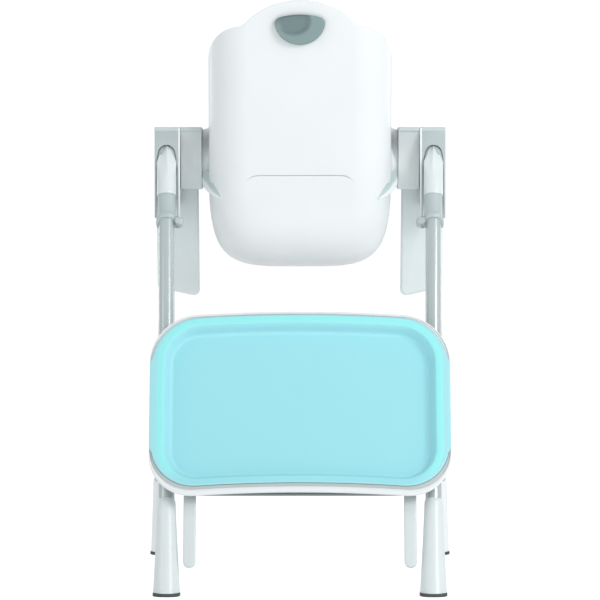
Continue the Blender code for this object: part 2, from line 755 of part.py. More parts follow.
    # Shoe and sole of the rear leg
    shoe_top = -leg_length + SHOE_LENGTH
    shoe_frame = leg @ Matrix.Translation((0, 0, shoe_top))
    rings = foot_rings(shoe_frame, SHOE_LENGTH + 0.02, TUBE_RADIUS + SHOE_WALL, SHOE_HALF_X, SHOE_HALF_Y)
    shoe = part(f"rear_shoe_{side}", tidy(loft(rings)), "white", rear_axis)
    combine(shoe, below_floor)
    bore_from = leg @ Vector((0, 0, shoe_top + 0.02))
    shoe_bore = rod(TUBE_RADIUS + FIT, bore_from, leg @ Vector((0, 0, tube_end - FIT)))
    combine(shoe, cutter(f"shoe_bore_{side}", shoe_bore))
    rear_sole = outline(
        sole_outline(rear_foot.x, rear_foot.y, SHOE_HALF_X + SOLE_PROUD, SHOE_HALF_Y + SOLE_PROUD + 0.0005),
        SOLE_HEIGHT - FIT,
    )
    rear_sole.transform(Matrix.Translation((0, 0, (SOLE_HEIGHT - FIT) / 2)))
    bevel(part(f"rear_sole_{side}", rear_sole, "rubber", rear_axis), 0.0015, 1, 60)

    # Carriage: a clamp round the column's inner half, with a socket for a tray arm in front
    rear_jaw = REAR_FACE - REAR_JAW
    front_jaw = FRONT_FACE + FRONT_JAW
    block = [
        (column_y(COLUMN_TOP_Z, rear_jaw), COLUMN_TOP_Z),
        (column_y(CARRIAGE_BOTTOM_Z, rear_jaw), CARRIAGE_BOTTOM_Z),
        (column_y(CARRIAGE_BOTTOM_Z, front_jaw), CARRIAGE_BOTTOM_Z),
        (column_y(COLUMN_TOP_Z, front_jaw), COLUMN_TOP_Z),
    ]
    block = rounded(block, (0.008, 0.010, 0.022, 0.022), 5)
    block_mesh = side_plate(block, sign * CARRIAGE_INNER, sign * CARRIAGE_OUTER)
    carriage = part(f"carriage_{side}", block_mesh, "white", lift_axis)
    bevel(carriage, 0.003, 1, 50)
    web = COLUMN_INNER - SLIDE / 2
    channel = side_plate(
        [
            (column_y(1.0, REAR_FACE - SLIDE / 2), 1.0),
            (column_y(0.6, REAR_FACE - SLIDE / 2), 0.6),
            (column_y(0.6, FRONT_FACE + SLIDE / 2), 0.6),
            (column_y(1.0, FRONT_FACE + SLIDE / 2), 1.0),
        ],
        sign * web,
        sign * (web + COLUMN_WIDTH),
    )
    combine(carriage, cutter(f"carriage_channel_{side}", channel))
    socket_z = COLUMN_TOP_Z - SOCKET_DROP
    socket = box(
        (ARM_WIDTH + 2 * SLIDE, 0.10, ARM_THICK + 2 * SLIDE),
        Matrix.Translation((sign * ARM_X, column_y(socket_z, FRONT_FACE) + 0.004 + 0.05, socket_z)),
    )
    combine(carriage, cutter(f"arm_socket_{side}", socket))
    eye_start = Vector((sign * (CARRIAGE_INNER - 0.05), AXLE_Y, AXLE_Z))
    axle_end = sign * (CARRIAGE_OUTER - 0.005)
    axle_bore = rod(AXLE_RADIUS + FIT, eye_start, (axle_end + sign * FIT, AXLE_Y, AXLE_Z), 24)
    axle_cutter = cutter(f"axle_bore_{side}", axle_bore)
    combine(carriage, axle_cutter)

    # Height button in a pocket of the carriage's front, with a finger towards the column's notches
    press = Vector((0.0, -math.cos(FRONT_LEAN), -math.sin(FRONT_LEAN)))
    button_z = AXLE_Z - BUTTON_DROP
    button_x = sign * (COLUMN_INNER + BUTTON_INSET)
    face = Vector((button_x, column_y(button_z, front_jaw), button_z))
    button_axis = home(f"button_press_{side}", face, lift_axis)
    button_frame = frame_on(face, -press)
    head_depth = 0.018
    button_place = button_frame @ Matrix.Translation((0, 0, BUTTON_PROUD - head_depth / 2))
    button_mesh = box((BUTTON_SIZE, BUTTON_SIZE, head_depth), button_place)
    button = part(f"height_button_{side}", button_mesh, "grey", button_axis)
    bevel(button, 0.004, 2, 30)
    finger_end = FRONT_JAW - BUTTON_TRAVEL - 0.001
    finger_from = button_frame @ Vector((0, 0, -0.012))
    finger = rod(FINGER_RADIUS, finger_from, button_frame @ Vector((0, 0, -finger_end)), 12)
    combine(button, cutter(f"button_finger_{side}", finger), "UNION")
    pocket = box(
        (BUTTON_SIZE + 2 * SLIDE, BUTTON_SIZE + 2 * SLIDE, 0.06),
        button_frame @ Matrix.Translation((0, 0, 0.03 + BUTTON_PROUD - head_depth - BUTTON_TRAVEL - 0.001)),
    )
    combine(carriage, cutter(f"button_pocket_{side}", pocket))
    guide_end = button_frame @ Vector((0, 0, -FRONT_JAW - 0.004))
    guide = rod(FINGER_RADIUS + SLIDE / 2, finger_from, guide_end, 12)
    combine(carriage, cutter(f"button_guide_{side}", guide))

    # Recline axle with a flat head on the inside of the tub
    wall_in = BODY_HALF - SHELL
    axle = part(
        f"recline_axle_{side}",
        rod(AXLE_RADIUS, (sign * (wall_in - 0.002), AXLE_Y, AXLE_Z), (axle_end, AXLE_Y, AXLE_Z), 24),
        "steel",
        lift_axis,
    )
    head_in = Vector((sign * (wall_in - 0.006), AXLE_Y, AXLE_Z))
    knob = rod(AXLE_HEAD, (sign * (wall_in - SLIDE), AXLE_Y, AXLE_Z), head_in, 24, AXLE_HEAD * 0.8)
    combine(axle, cutter(f"axle_head_{side}", knob), "UNION")

# Cross tubes that tie each pair of legs
front_at = (FRONT_CROSS_Z - COLUMN_END_Z) / (0.0 - COLUMN_END_Z)
cross_y = column_y(FRONT_CROSS_Z)
cross_x = FRONT_TOP_X + (FRONT_FOOT_X - FRONT_TOP_X) * front_at - TUBE_RADIUS - FIT * 3
front_bar = [(-cross_x, cross_y, FRONT_CROSS_Z), (cross_x, cross_y, FRONT_CROSS_Z)]
tube("front_cross_tube", front_bar, CROSS_RADIUS, "tube", stand)
rear_cross = TRAY_FRAME @ Vector((0.0, -REAR_CROSS_AT, 0.0))
leg_fall = REAR_CROSS_AT * math.cos(REAR_LEAN) / PIVOT_Z
rear_x = REAR_TOP_X + (REAR_FOOT_X - REAR_TOP_X) * leg_fall - TUBE_RADIUS - FIT * 3
rear_bar = [(-rear_x, *rear_cross[1:]), (rear_x, *rear_cross[1:])]
tube("rear_cross_tube", rear_bar, CROSS_RADIUS, "tube", rear_axis)


# Seat tub: the back is a U section carried up a leaning line and trimmed by its rim above and its seam below
FLAT = BODY_HALF - BODY_CORNER
ARC = BODY_CORNER * math.pi / 2


def section(s):
    """X, forward Y and the outward direction on the U section at a distance s from its middle."""
    a = abs(s)
    sign = math.copysign(1.0, s)
    if a <= FLAT:
        return s, 0.0, 0.0, -1.0
    if a <= FLAT + ARC:
        angle = (a - FLAT) / BODY_CORNER
        x = FLAT + BODY_CORNER * math.sin(angle)
        return sign * x, BODY_CORNER * (1 - math.cos(angle)), sign * math.sin(angle), -math.cos(angle)
    return sign * BODY_HALF, BODY_CORNER + a - FLAT - ARC, sign, 0.0


def back_y(z):
    """Y of the back's outer face in the middle."""
    rise = z - SEAM_SIDE_Z
    return AXLE_Y - BACK_SETBACK - 0.16 * rise - 0.07 * rise * rise


BACK_VIEW = Matrix(((1, 0, 0, 0), (0, 0, -1, 0), (0, 1, 0, 0), (0, 0, 0, 1)))


def lean_with_back(mesh):
    """Shears a plate that stands in XZ so that it follows the back's lean."""
    for vert in mesh.vertices:
        vert.co.y += back_y(vert.co.z)
    return mesh


def tip_height(y):
    """Half the height of the arm's rounded front end."""
    t = min((y - WALL_REACH + ARM_TIP) / ARM_TIP, 0.97)
    return ARM_HALF * math.sqrt(1 - max(t, 0.0) ** 2)


def rim_z(s):
    """Height of the back's upper edge: a dome, round shoulders, then a sweep down to the arms."""
    x, y, _, _ = section(s)
    x = abs(x)
    if y <= BODY_CORNER:
        dome = BACK_TOP_Z - DOME_RADIUS + math.sqrt(max(DOME_RADIUS**2 - x * x, 0.0))
        t = max(x - FLAT, 0.0) / BODY_CORNER
        shoulder = SHOULDER_Z + SHOULDER_RISE * max(1 - t**2.5, 0.0) ** 0.4
        return (dome + shoulder + math.sqrt((dome - shoulder) ** 2 + 0.004**2)) / 2
    t = min((y - BODY_CORNER) / (WALL_REACH - ARM_TIP - BODY_CORNER), 1.0)
    level = AXLE_Z + ARM_HALF
    sweep = level + (SHOULDER_Z + 0.001 - level) * (1 - t) ** 2
    return min(sweep, AXLE_Z + tip_height(y)) if y > WALL_REACH - ARM_TIP else sweep


def seam_z(x, y):
    """Height of the back's lower edge, from a place on the section."""
    if y < BODY_CORNER * 0.66:
        t = ease((abs(x) - BODY_HALF + SEAM_SIDE_ZONE) / SEAM_EASE)
        return SEAM_MID_Z + (SEAM_SIDE_Z - SEAM_MID_Z) * t
    t = ease((y - BODY_CORNER * 0.66) / (WALL_REACH - ARM_TIP - BODY_CORNER * 0.66))
    level = SEAM_SIDE_Z + (AXLE_Z - ARM_HALF - SEAM_SIDE_Z) * t
    return max(level, AXLE_Z - tip_height(y)) if y > WALL_REACH - ARM_TIP else level


def back_point(s, z, inset):
    x, y, nx, ny = section(s)
    return (x - inset * nx, back_y(z) + y - inset * ny, z)


half = [FLAT * k / 4 for k in range(4)]
half += [FLAT + ARC * k / 6 for k in range(6)]
half += [FLAT + ARC + (WALL_REACH - BODY_CORNER) * k / 7 for k in range(8)]
stations = [-s for s in reversed(half[1:])] + half
levels = [0.0, 0.08, 0.20, 0.36, 0.54, 0.72, 0.88, 1.0]
grid = []
for h in levels:
    row = []
    for s in stations:
        x, y, _, _ = section(s)
        low = seam_z(x, y)
        z = low + (rim_z(s) - low) * h
        out = FLARE * ease(1 - (z - low) / FLARE_HEIGHT)
        out *= ease((abs(x) - BODY_HALF + FLARE_ZONE) / FLARE_EASE)
        row.append(back_point(s, z, -out))
    grid.append(row)
back_shell = part("back_shell", sheet(np.array(grid), AXLE), "white", seat_axis)
thicken(back_shell, SHELL)
for side, sign in SIDES:
    hub = rod(
        ARM_RADIUS + HUB_FLARE,
        (sign * (BODY_HALF - SHELL * 0.5), AXLE_Y, AXLE_Z),
        (sign * (CARRIAGE_INNER - SLIDE), AXLE_Y, AXLE_Z),
        36,
        ARM_RADIUS,
    )
    combine(back_shell, cutter(f"arm_hub_{side}", hub), "UNION")
    combine(back_shell, bpy.data.objects[f"axle_bore_{side}"])


# Lower bucket: a bowl whose plan and profile are rounded oblongs, necked in under the back's edge
def power(value, exponent):
    return math.copysign(abs(value) ** exponent, value)


def bucket_rim(y):
    t = ease((y - BUCKET_MID_Y - BUCKET_DIP_Y) / (BUCKET_HALF_Y - BUCKET_DIP_Y))
    return BUCKET_RIM_Z + (BUCKET_FRONT_Z - BUCKET_RIM_Z) * t


def bucket_point(u, r, inset):
    """A place on the bowl at an angle u round it and a share r of the way out from its middle."""
    across = power(math.cos(u), 0.5)
    along = power(math.sin(u), 0.5)
    rim_y = BUCKET_MID_Y + BUCKET_HALF_Y * along
    top = bucket_rim(rim_y)
    deep = (1 - r**4.2) ** (1 / 4.2)
    y = BUCKET_MID_Y + (BUCKET_HALF_Y - inset) * along * r
    floor = BUCKET_FLOOR_Z + inset + BUCKET_RISE * (y - BUCKET_MID_Y + BUCKET_HALF_Y)
    z = top - (top - floor) * deep
    x = (BODY_HALF - 0.001 - inset) * across * r
    seam = seam_z(BODY_HALF * across, rim_y - back_y(SEAM_SIDE_Z + 0.012))
    neck = NECK * ease((z - seam + NECK_LOW) / (NECK_LOW - 0.002))
    if rim_y - back_y(SEAM_SIDE_Z + 0.012) > WALL_REACH + 0.004:
        neck = 0.0
    size = math.hypot(across, along)
    return (x - neck * across / size, y - neck * along / size, z)


AROUND = 36
shares = [1.0, 0.99995, 0.9996, 0.998, 0.993, 0.98, 0.95, 0.90, 0.80, 0.60, 0.30]
grid = []
for r in shares:
    grid.append([bucket_point(math.tau * k / AROUND, r, 0.0) for k in range(AROUND)])
bowl = loft(grid, closed_ends=False)
bm = bmesh.new()
bm.from_mesh(bowl)
bm.verts.ensure_lookup_table()
ring = [bm.verts[(len(shares) - 1) * AROUND + k] for k in range(AROUND)]
middle = bm.verts.new(bucket_point(0.0, 0.0, 0.0))
for k in range(AROUND):
    bm.faces.new((ring[k], ring[(k + 1) % AROUND], middle))
bmesh.ops.recalc_face_normals(bm, faces=bm.faces)
bm.normal_update()
if middle.normal.z > 0:
    bmesh.ops.reverse_faces(bm, faces=bm.faces)
bm.to_mesh(bowl)
bm.free()
seat_bucket = part("seat_bucket", bowl, "white", seat_axis)
thicken(seat_bucket, SHELL)
lug_x = LEGREST_HALF - LUG_WIDTH - 0.002
for side, sign in SIDES:
    lug_points = rounded(
        [
            (BUCKET_MID_Y + BUCKET_HALF_Y * 0.948, LEGREST_Z - LUG_HALF),
            (LEGREST_Y + 0.011, LEGREST_Z - LUG_HALF),
            (LEGREST_Y + 0.011, LEGREST_Z + LUG_HALF),
            (BUCKET_MID_Y + BUCKET_HALF_Y * 0.948, LEGREST_Z + LUG_HALF),
        ],
        (0.0, 0.010, 0.010, 0.0),
    )
    lug = side_plate(lug_points, sign * lug_x, sign * (lug_x + LUG_WIDTH))
    combine(seat_bucket, cutter(f"legrest_lug_{side}", lug), "UNION")
for side, sign in SIDES:
    boss_points = [
        (sign * BOSS_X - BOSS_WIDTH / 2, SEAM_MID_Z + 0.004),
        (sign * BOSS_X + BOSS_WIDTH / 2, SEAM_MID_Z + 0.004),
        (sign * BOSS_X + BOSS_WIDTH / 2, BUCKET_RIM_Z - 0.004),
        (sign * BOSS_X - BOSS_WIDTH / 2, BUCKET_RIM_Z - 0.004),
    ]
    boss = outline(boss_points, 0.010)
    boss.transform(Matrix.Translation((0, SHELL + FIT + 0.005, 0)) @ BACK_VIEW)
    combine(seat_bucket, cutter(f"bucket_boss_{side}", lean_with_back(boss)), "UNION")
pin_bore = rod(PIN_RADIUS + FIT, (-0.15, LEGREST_Y, LEGREST_Z), (0.15, LEGREST_Y, LEGREST_Z), 16)
pin_cutter = cutter("legrest_pin_bore", pin_bore)
combine(seat_bucket, pin_cutter)

# Leg rest: a panel on a barrel, with a ledge for the feet
pin_end = lug_x + LUG_WIDTH
rest_pin = rod(PIN_RADIUS, (-pin_end, LEGREST_Y, LEGREST_Z), (pin_end, LEGREST_Y, LEGREST_Z), 16)
part("legrest_pin", rest_pin, "steel", seat_axis)
barrel_end = lug_x - SLIDE
panel = part(
    "legrest_panel",
    rod(0.0085, (-barrel_end, LEGREST_Y, LEGREST_Z), (barrel_end, LEGREST_Y, LEGREST_Z), 20),
    "white",
    legrest_axis,
)
board_points = rounded(
    [
        (-LEGREST_HALF, LEGREST_Y + 0.015),
        (LEGREST_HALF, LEGREST_Y + 0.015),
        (LEGREST_HALF * 0.9, LEGREST_Y + LEGREST_LENGTH),
        (-LEGREST_HALF * 0.9, LEGREST_Y + LEGREST_LENGTH),
    ],
    (0.008, 0.008, 0.025, 0.025),
)
board = outline(board_points, LEGREST_THICK)
board.transform(Matrix.Translation((0, 0, LEGREST_Z)))
combine(panel, cutter("legrest_board", board), "UNION")
neck_points = [(-0.07, LEGREST_Y), (0.07, LEGREST_Y), (0.07, LEGREST_Y + 0.02), (-0.07, LEGREST_Y + 0.02)]
neck_mesh = outline(neck_points, LEGREST_THICK - 0.001)
neck_mesh.transform(Matrix.Translation((0, 0, LEGREST_Z)))
combine(panel, cutter("legrest_neck", neck_mesh), "UNION")
combine(panel, pin_cutter)
ledge_y = LEGREST_Y + LEGREST_LENGTH
ledge_points = rounded(
    [
        (ledge_y + FIT, LEGREST_Z - LEGREST_THICK / 2),
        (ledge_y + 0.009, LEGREST_Z - LEGREST_THICK / 2),
        (ledge_y + 0.014, LEGREST_Z + 0.045),
        (ledge_y + 0.007, LEGREST_Z + 0.045),
    ],
    (0.0, 0.006, 0.003, 0.003),
    3,
)
ledge_mesh = side_plate(ledge_points, -LEGREST_HALF * 0.8, LEGREST_HALF * 0.8)
ledge = part("foot_ledge", ledge_mesh, "white", legrest_axis)
bevel(ledge, 0.0015, 2, 60)

# Recline handle: a half-moon paddle in a matching opening of the back, on a pin along its upper edge
LEVER_PIN_Z = LEVER_TOP_Z - LEVER_ARCH
LEVER_PIN_Y = back_y(LEVER_PIN_Z) + SHELL + PIN_RADIUS * 0.5 + FIT
lever_axis = home("recline_lever_axis", (0.0, LEVER_PIN_Y, LEVER_PIN_Z), seat_axis)


def half_moon(grow, above):
    """The handle's outline seen from behind: a slightly arched top over a deep round bottom."""
    points = []
    top = LEVER_TOP_Z + above
    half = LEVER_HALF + grow
    drop = LEVER_HEIGHT - LEVER_ARCH + grow + above
    for k in range(9):
        t = -1 + k / 4
        points.append((half * t, top - LEVER_ARCH * t * t))
    for k in range(1, 16):
        angle = -math.pi * k / 16
        points.append((half * math.cos(angle), top - LEVER_ARCH + drop * power(math.sin(angle), 0.85)))
    return points


opening = outline(half_moon(LEVER_GAP, LEVER_TOP_GAP), 0.03)
opening.transform(BACK_VIEW)
combine(back_shell, cutter("lever_opening", lean_with_back(opening)))
paddle = outline(half_moon(0.0, 0.0), LEVER_THICK)
paddle.transform(Matrix.Translation((0, -LEVER_THICK / 2 + SHELL + 0.0015, 0)) @ BACK_VIEW)
lever = part("recline_lever", lean_with_back(paddle), "grey", lever_axis)
bevel(lever, 0.0025, 2, 50)
bore_end = Vector((LEVER_HALF * 2, LEVER_PIN_Y, LEVER_PIN_Z))
lever_bore = rod(PIN_RADIUS * 0.5 + FIT, bore_end - Vector((LEVER_HALF * 4, 0, 0)), bore_end, 12)
boss_half = LEVER_HALF - 0.0115
lever_boss = rod(0.0042, (-boss_half, LEVER_PIN_Y, LEVER_PIN_Z), (boss_half, LEVER_PIN_Y, LEVER_PIN_Z), 16)
combine(lever, cutter("lever_boss", lever_boss), "UNION")
combine(lever, cutter("lever_pin_bore", lever_bore))
pin_half = LEVER_HALF + 0.010
part(
    "lever_pin",
    rod(PIN_RADIUS * 0.5, (-pin_half, LEVER_PIN_Y, LEVER_PIN_Z), (pin_half, LEVER_PIN_Y, LEVER_PIN_Z), 12),
    "steel",
    seat_axis,
)

# Rod behind the back cushion, which the handle pulls, with a yoke at its lower end
ROD_TOP = LEVER_BOTTOM_Z - 0.0045
ROD_LOW = SEAM_MID_Z + YOKE_RISE
rod_axis = home("recline_rod_slide", (0.0, back_y(ROD_TOP) + SHELL, ROD_TOP), seat_axis)
yoke_top = ROD_LOW + 0.008
rod_points = [(-0.004, ROD_TOP), (-0.004, yoke_top), (-YOKE_HALF, yoke_top), (-YOKE_HALF, ROD_LOW)]
rod_points += [(-a, b) for a, b in reversed(rod_points)]
yoke = outline(rod_points, 0.0020)
yoke.transform(Matrix.Translation((0, SHELL + 0.0010 + 0.0008, 0)) @ BACK_VIEW)
part("recline_rod", lean_with_back(yoke), "steel", rod_axis)


# Cushions: crowned slabs that follow the inside of the tub
def crown(a, b):
    """Full in the middle and drawn in at the border, with a and b from -1 to 1."""
    return (max(1 - abs(a) ** 5, 0.0) ** 0.5) * (max(1 - abs(b) ** 7, 0.0) ** 0.5)


BACK_PAD_S = FLAT + ARC * 0.62
BACK_PAD_LOW = BUCKET_FLOOR_Z + BACK_PAD_GAP


def back_pad(a, b, over):
    high = rim_z(BACK_PAD_S * a) - BACK_PAD_DROP
    z = BACK_PAD_LOW + (high - BACK_PAD_LOW) * (b + 1) / 2
    in_bucket = 1 - ease((z - BUCKET_RIM_Z - 0.010) / 0.040)
    s = BACK_PAD_S * a * (1 - 0.30 * in_bucket)
    under = SHELL + 0.0014 + (0.0135 + 0.014 * abs(a) ** 3) * in_bucket
    under += 0.0042 * ease((YOKE_HALF + 0.015 - abs(s)) / 0.006) * ease((z - ROD_LOW + 0.035) / 0.02)
    thick = 0.004 + CUSHION * crown(a, b)
    thick -= 0.004 * math.exp(-(((z - AXLE_Z - PAD_CREASE_UP) / 0.007) ** 2)) * crown(a, b)
    return back_point(s, z, under + thick * over)


steps_a = np.sin(np.linspace(-1, 1, 17) * math.pi / 2)
steps_b = np.sin(np.linspace(-1, 1, 15) * math.pi / 2)
under = np.array([[back_pad(a, b, 0.0) for a in steps_a] for b in steps_b])
over = np.array([[back_pad(a, b, 1.0) for a in steps_a] for b in steps_b])
part("back_cushion", slab(under, over), "cloth", seat_axis)

SEAT_PAD_SHARE = 0.90
PAD_GAP = 0.0010
SEAT_PAD_TOP = BUCKET_FLOOR_Z + SEAT_PAD_DEPTH


def seat_pad_z(x_share, u):
    """Lower and upper height of the seat cushion at a share of the way out."""
    r = SEAT_PAD_SHARE * x_share
    x, y, low = bucket_point(u, r, SHELL + PAD_GAP)
    fill = max(SEAT_PAD_TOP + 0.05 * (y - BUCKET_MID_Y) * 0.6 - low - 0.006, 0.0)
    high = low + 0.004 + fill * (1 - x_share**8) ** 0.5 + 0.008 * (1 - x_share**4)
    return x, y, low, high


SEAT_PAD_SHARES = (1.0, 0.98, 0.80 / 0.90, 0.60 / 0.90, 0.30 / 0.90)
lower_rings = []
upper_rings = []
for share in SEAT_PAD_SHARES:
    low_ring = []
    high_ring = []
    for k in range(AROUND):
        x, y, low, high = seat_pad_z(share, math.tau * k / AROUND)
        low_ring.append((x, y, low))
        high_ring.append((x, y, high))
    lower_rings.append(low_ring)
    upper_rings.append(high_ring)
part("seat_cushion", tidy(loft(list(reversed(upper_rings)) + lower_rings)), "cloth", seat_axis)

# Harness: flat webbing that lies on the cushions and meets in a buckle
BUCKLE = Vector((0.0, BUCKET_MID_Y + 0.025, SEAT_PAD_TOP + 0.030))
buckle_mesh = box((BUCKLE_WIDTH, BUCKLE_LENGTH, BUCKLE_THICK), Matrix.Translation(BUCKLE))
buckle = part("buckle", buckle_mesh, "grey", seat_axis)
bevel(buckle, 0.004, 2, 30)
button_top = BUCKLE + Vector((0, 0, BUCKLE_THICK / 2))
button_axis = home("buckle_press", button_top, seat_axis)
part(
    "buckle_button",
    rod(0.009, button_top + Vector((0, 0, -0.006)), button_top + Vector((0, 0, 0.0015)), 20),
    "aqua",
    button_axis,
)
well = rod(0.009 + SLIDE, button_top + Vector((0, 0, -0.0095)), button_top + Vector((0, 0, 0.01)), 20)
combine(buckle, cutter("buckle_well", well))


def pad_front(x, z):
    """The back cushion's front face at a place."""
    b = 0.0
    for _ in range(30):
        place = back_pad(x / BACK_PAD_S, b, 1.0)
        b += (z - place[2]) / 0.2
        b = min(max(b, -0.98), 0.98)
    return Vector(back_pad(x / BACK_PAD_S, b, 1.0))


for side, sign in SIDES:
    spots = []
    for z in np.linspace(BACK_TOP_Z - STRAP_TOP_DROP, BUCKET_FLOOR_Z + STRAP_LOW_RISE, 14):
        lift = 0.0034 if spots else 0.0016
        spots.append(pad_front(sign * STRAP_X, float(z)) + Vector((0, lift, 0)))
    last = spots[-1]
    meet = BUCKLE + Vector((sign * 0.012, -BUCKLE_LENGTH / 2 - FIT, 0.0))
    for t in (0.25, 0.5, 0.75, 1.0):
        drop = 4 * t * (1 - t) * 0.018
        spots.append(last.lerp(meet, t) - Vector((0, 0, drop)))
    lifts = []
    for i in range(len(spots)):
        along = spots[min(i + 1, len(spots) - 1)] - spots[max(i - 1, 0)]
        lifts.append(along.cross(Vector((-1, 0, 0))))
    strap = ribbon(spots, [Vector((1, 0, 0))] * len(spots), lifts, WEB_WIDTH * 0.8, WEB_THICK)
    part(f"shoulder_strap_{side}", strap, "web", seat_axis)
    belt = []
    anchor = Vector((sign * (BODY_HALF - BELT_END), BUCKET_MID_Y - 0.040, SEAT_PAD_TOP + 0.036))
    clip = BUCKLE + Vector((sign * (BUCKLE_WIDTH / 2 + FIT), 0.006, 0.0))
    for t in (0.0, 0.2, 0.4, 0.6, 0.8, 1.0):
        belt.append(anchor.lerp(clip, t) - Vector((0, 0, 4 * t * (1 - t) * 0.004)))
    belt_mesh = ribbon(belt, [Vector((0, 1, 0))] * 6, [Vector((0, 0, 1))] * 6, WEB_WIDTH, WEB_THICK)
    part(f"waist_strap_{side}", belt_mesh, "web", seat_axis)
crotch = []
for ahead, drop in ((FIT, 0.0), (0.015, 0.004), (0.030, 0.012)):
    crotch.append(BUCKLE + Vector((0, BUCKLE_LENGTH / 2 + ahead, -drop)))
crotch_mesh = ribbon(crotch, [Vector((1, 0, 0))] * 3, [Vector((0, 0, 1))] * 3, WEB_WIDTH, WEB_THICK)
part("crotch_strap", crotch_mesh, "web", seat_axis)


# Tray: an arched oblong hung on the rear legs, seen along the legs
def tray_ring(side_in, top_in, low_in, level, tab=0.0):
    """A closed ring of places on the tray's outline, drawn in by margins, at a distance out from the leg."""
    half = TRAY_HALF - side_in
    top = -TRAY_TOP - top_in
    low = -TRAY_BOTTOM + low_in
    corner = max(TRAY_CORNER - (side_in + max(top_in, 0.0)) / 2, 0.02)
    corners = ((half - corner, top - corner, 0), (corner - half, top - corner, 1))
    corners += ((corner - half, low + corner, 2), (half - corner, low + corner, 3))
    spread = []
    for index, (u, v, quarter) in enumerate(corners):
        for k in range(6):
            angle = math.pi / 2 * (quarter + k / 5)
            spread.append((u + corner * math.cos(angle), v + corner * math.sin(angle)))
        here = spread[-1]
        u2, v2, q2 = corners[(index + 1) % 4]
        there = (u2 + corner * math.cos(math.pi / 2 * q2), v2 + corner * math.sin(math.pi / 2 * q2))
        for k in range(1, 6):
            spread.append((here[0] + (there[0] - here[0]) * k / 6, here[1] + (there[1] - here[1]) * k / 6))
    ring = []
    for u, v in spread:
        on_tab = ease((v + TAB_LOW) / 0.008) * ease((-TAB_TOP - v) / 0.008) * (abs(u) > half - 0.004)
        u += math.copysign(tab * on_tab, u)
        ring.append((u, v - TRAY_ARCH * (u / TRAY_HALF) ** 2, level))
    return ring


def inset_ring(margin, level, tab=0.0):
    """The insert's own outline, drawn in further by a margin all round."""
    return tray_ring(
        TRAY_MARGIN_SIDE + margin, TRAY_MARGIN_TOP + margin, TRAY_MARGIN_LOW + margin, level, tab
    )


base_points = [(u, v) for u, v, _ in tray_ring(0.0, 0.0, 0.0, 0.0)]
base_mesh = outline(base_points, TRAY_FACE - TRAY_UNDER)
base_mesh.transform(TRAY_FRAME @ Matrix.Translation((0, 0, (TRAY_FACE + TRAY_UNDER) / 2)))
tray_base = part("tray_base", base_mesh, "white", tray_axis)
bevel(tray_base, 0.006, 2, 50)
pocket_ring = inset_ring(TRAY_LIP, 0.0)
pocket_mesh = outline([(u, v) for u, v, _ in pocket_ring], 0.06)
pocket_mesh.transform(TRAY_FRAME @ Matrix.Translation((0, 0, TRAY_UNDER + TRAY_FLOOR + 0.03)))
combine(tray_base, cutter("tray_pocket", pocket_mesh))

INSERT_FLOOR = TRAY_UNDER + TRAY_FLOOR + FIT + INSERT_SHEET
INSERT_LIP = TRAY_FACE + FIT + INSERT_SHEET
steps = (
    (0.000, INSERT_LIP, TRAY_MARGIN_SIDE),
    (0.008, INSERT_LIP + 0.0008, TRAY_MARGIN_SIDE * 0.5),
    (TRAY_LIP + 0.0045, INSERT_LIP, 0.0),
    (TRAY_LIP + 0.0075, INSERT_LIP - 0.004, 0.0),
    (TRAY_LIP + 0.0140, INSERT_FLOOR + 0.004, 0.0),
    (TRAY_LIP + 0.0200, INSERT_FLOOR, 0.0),
    (TRAY_LIP + 0.0600, INSERT_FLOOR, 0.0),
)
rings = []
for margin, level, tab in steps:
    rings.append([TRAY_FRAME @ Vector(p) for p in inset_ring(margin, level, tab)])
dish = loft(rings, closed_ends=False)
bm = bmesh.new()
bm.from_mesh(dish)
bm.verts.ensure_lookup_table()
size = len(rings[0])
bm.faces.new([bm.verts[(len(rings) - 1) * size + k] for k in range(size)])
bmesh.ops.recalc_face_normals(bm, faces=bm.faces)
bm.normal_update()
if max(bm.faces, key=lambda f: f.calc_area()).normal.dot(LEG_OUT) < 0:
    bmesh.ops.reverse_faces(bm, faces=bm.faces)
bm.to_mesh(dish)
bm.free()
insert = part("tray_insert", dish, "aqua", insert_axis)
thicken(insert, INSERT_SHEET)

for side, sign in SIDES:
    # Arm: a flat bar with a round end, fixed under the tray
    u = sign * ARM_X
    bar = rounded(
        [
            (u - ARM_WIDTH / 2, -ARM_END),
            (u + ARM_WIDTH / 2, -ARM_END),
            (u + ARM_WIDTH / 2, -ARM_START),
            (u - ARM_WIDTH / 2, -ARM_START),
        ],
        (0.0112, 0.0112, 0.004, 0.004),
        6,
    )
    bar_mesh = outline(bar, ARM_THICK)
    bar_mesh.transform(TRAY_FRAME @ Matrix.Translation((0, 0, TRAY_UNDER - FIT - ARM_THICK / 2)))
    bevel(part(f"tray_arm_{side}", bar_mesh, "white", tray_axis), 0.002, 1, 60)

    # Hook that hangs the tray on the rear cross tube
    top = -REAR_CROSS_AT + CROSS_RADIUS + FIT
    near = TRAY_UNDER - FIT
    far = -CROSS_RADIUS - SLIDE
    hook = [
        (top - 0.045, near),
        (top - 0.045, near - HOOK_WALL),
        (top - 0.010, near - HOOK_WALL),
        (top, CROSS_RADIUS + SLIDE),
        (top, far),
        (top - 0.018, far),
        (top - 0.018, far - HOOK_WALL),
        (top + 0.005, far - HOOK_WALL),
        (top + 0.005, near),
    ]
    hook_mesh = outline(hook, HOOK_WIDTH)
    hook_mesh.transform(TRAY_FRAME @ Matrix.Translation((sign * HOOK_X, 0, 0)) @ SIDE_VIEW)
    bevel(part(f"tray_hook_{side}", hook_mesh, "white", tray_axis), 0.001, 1, 60)

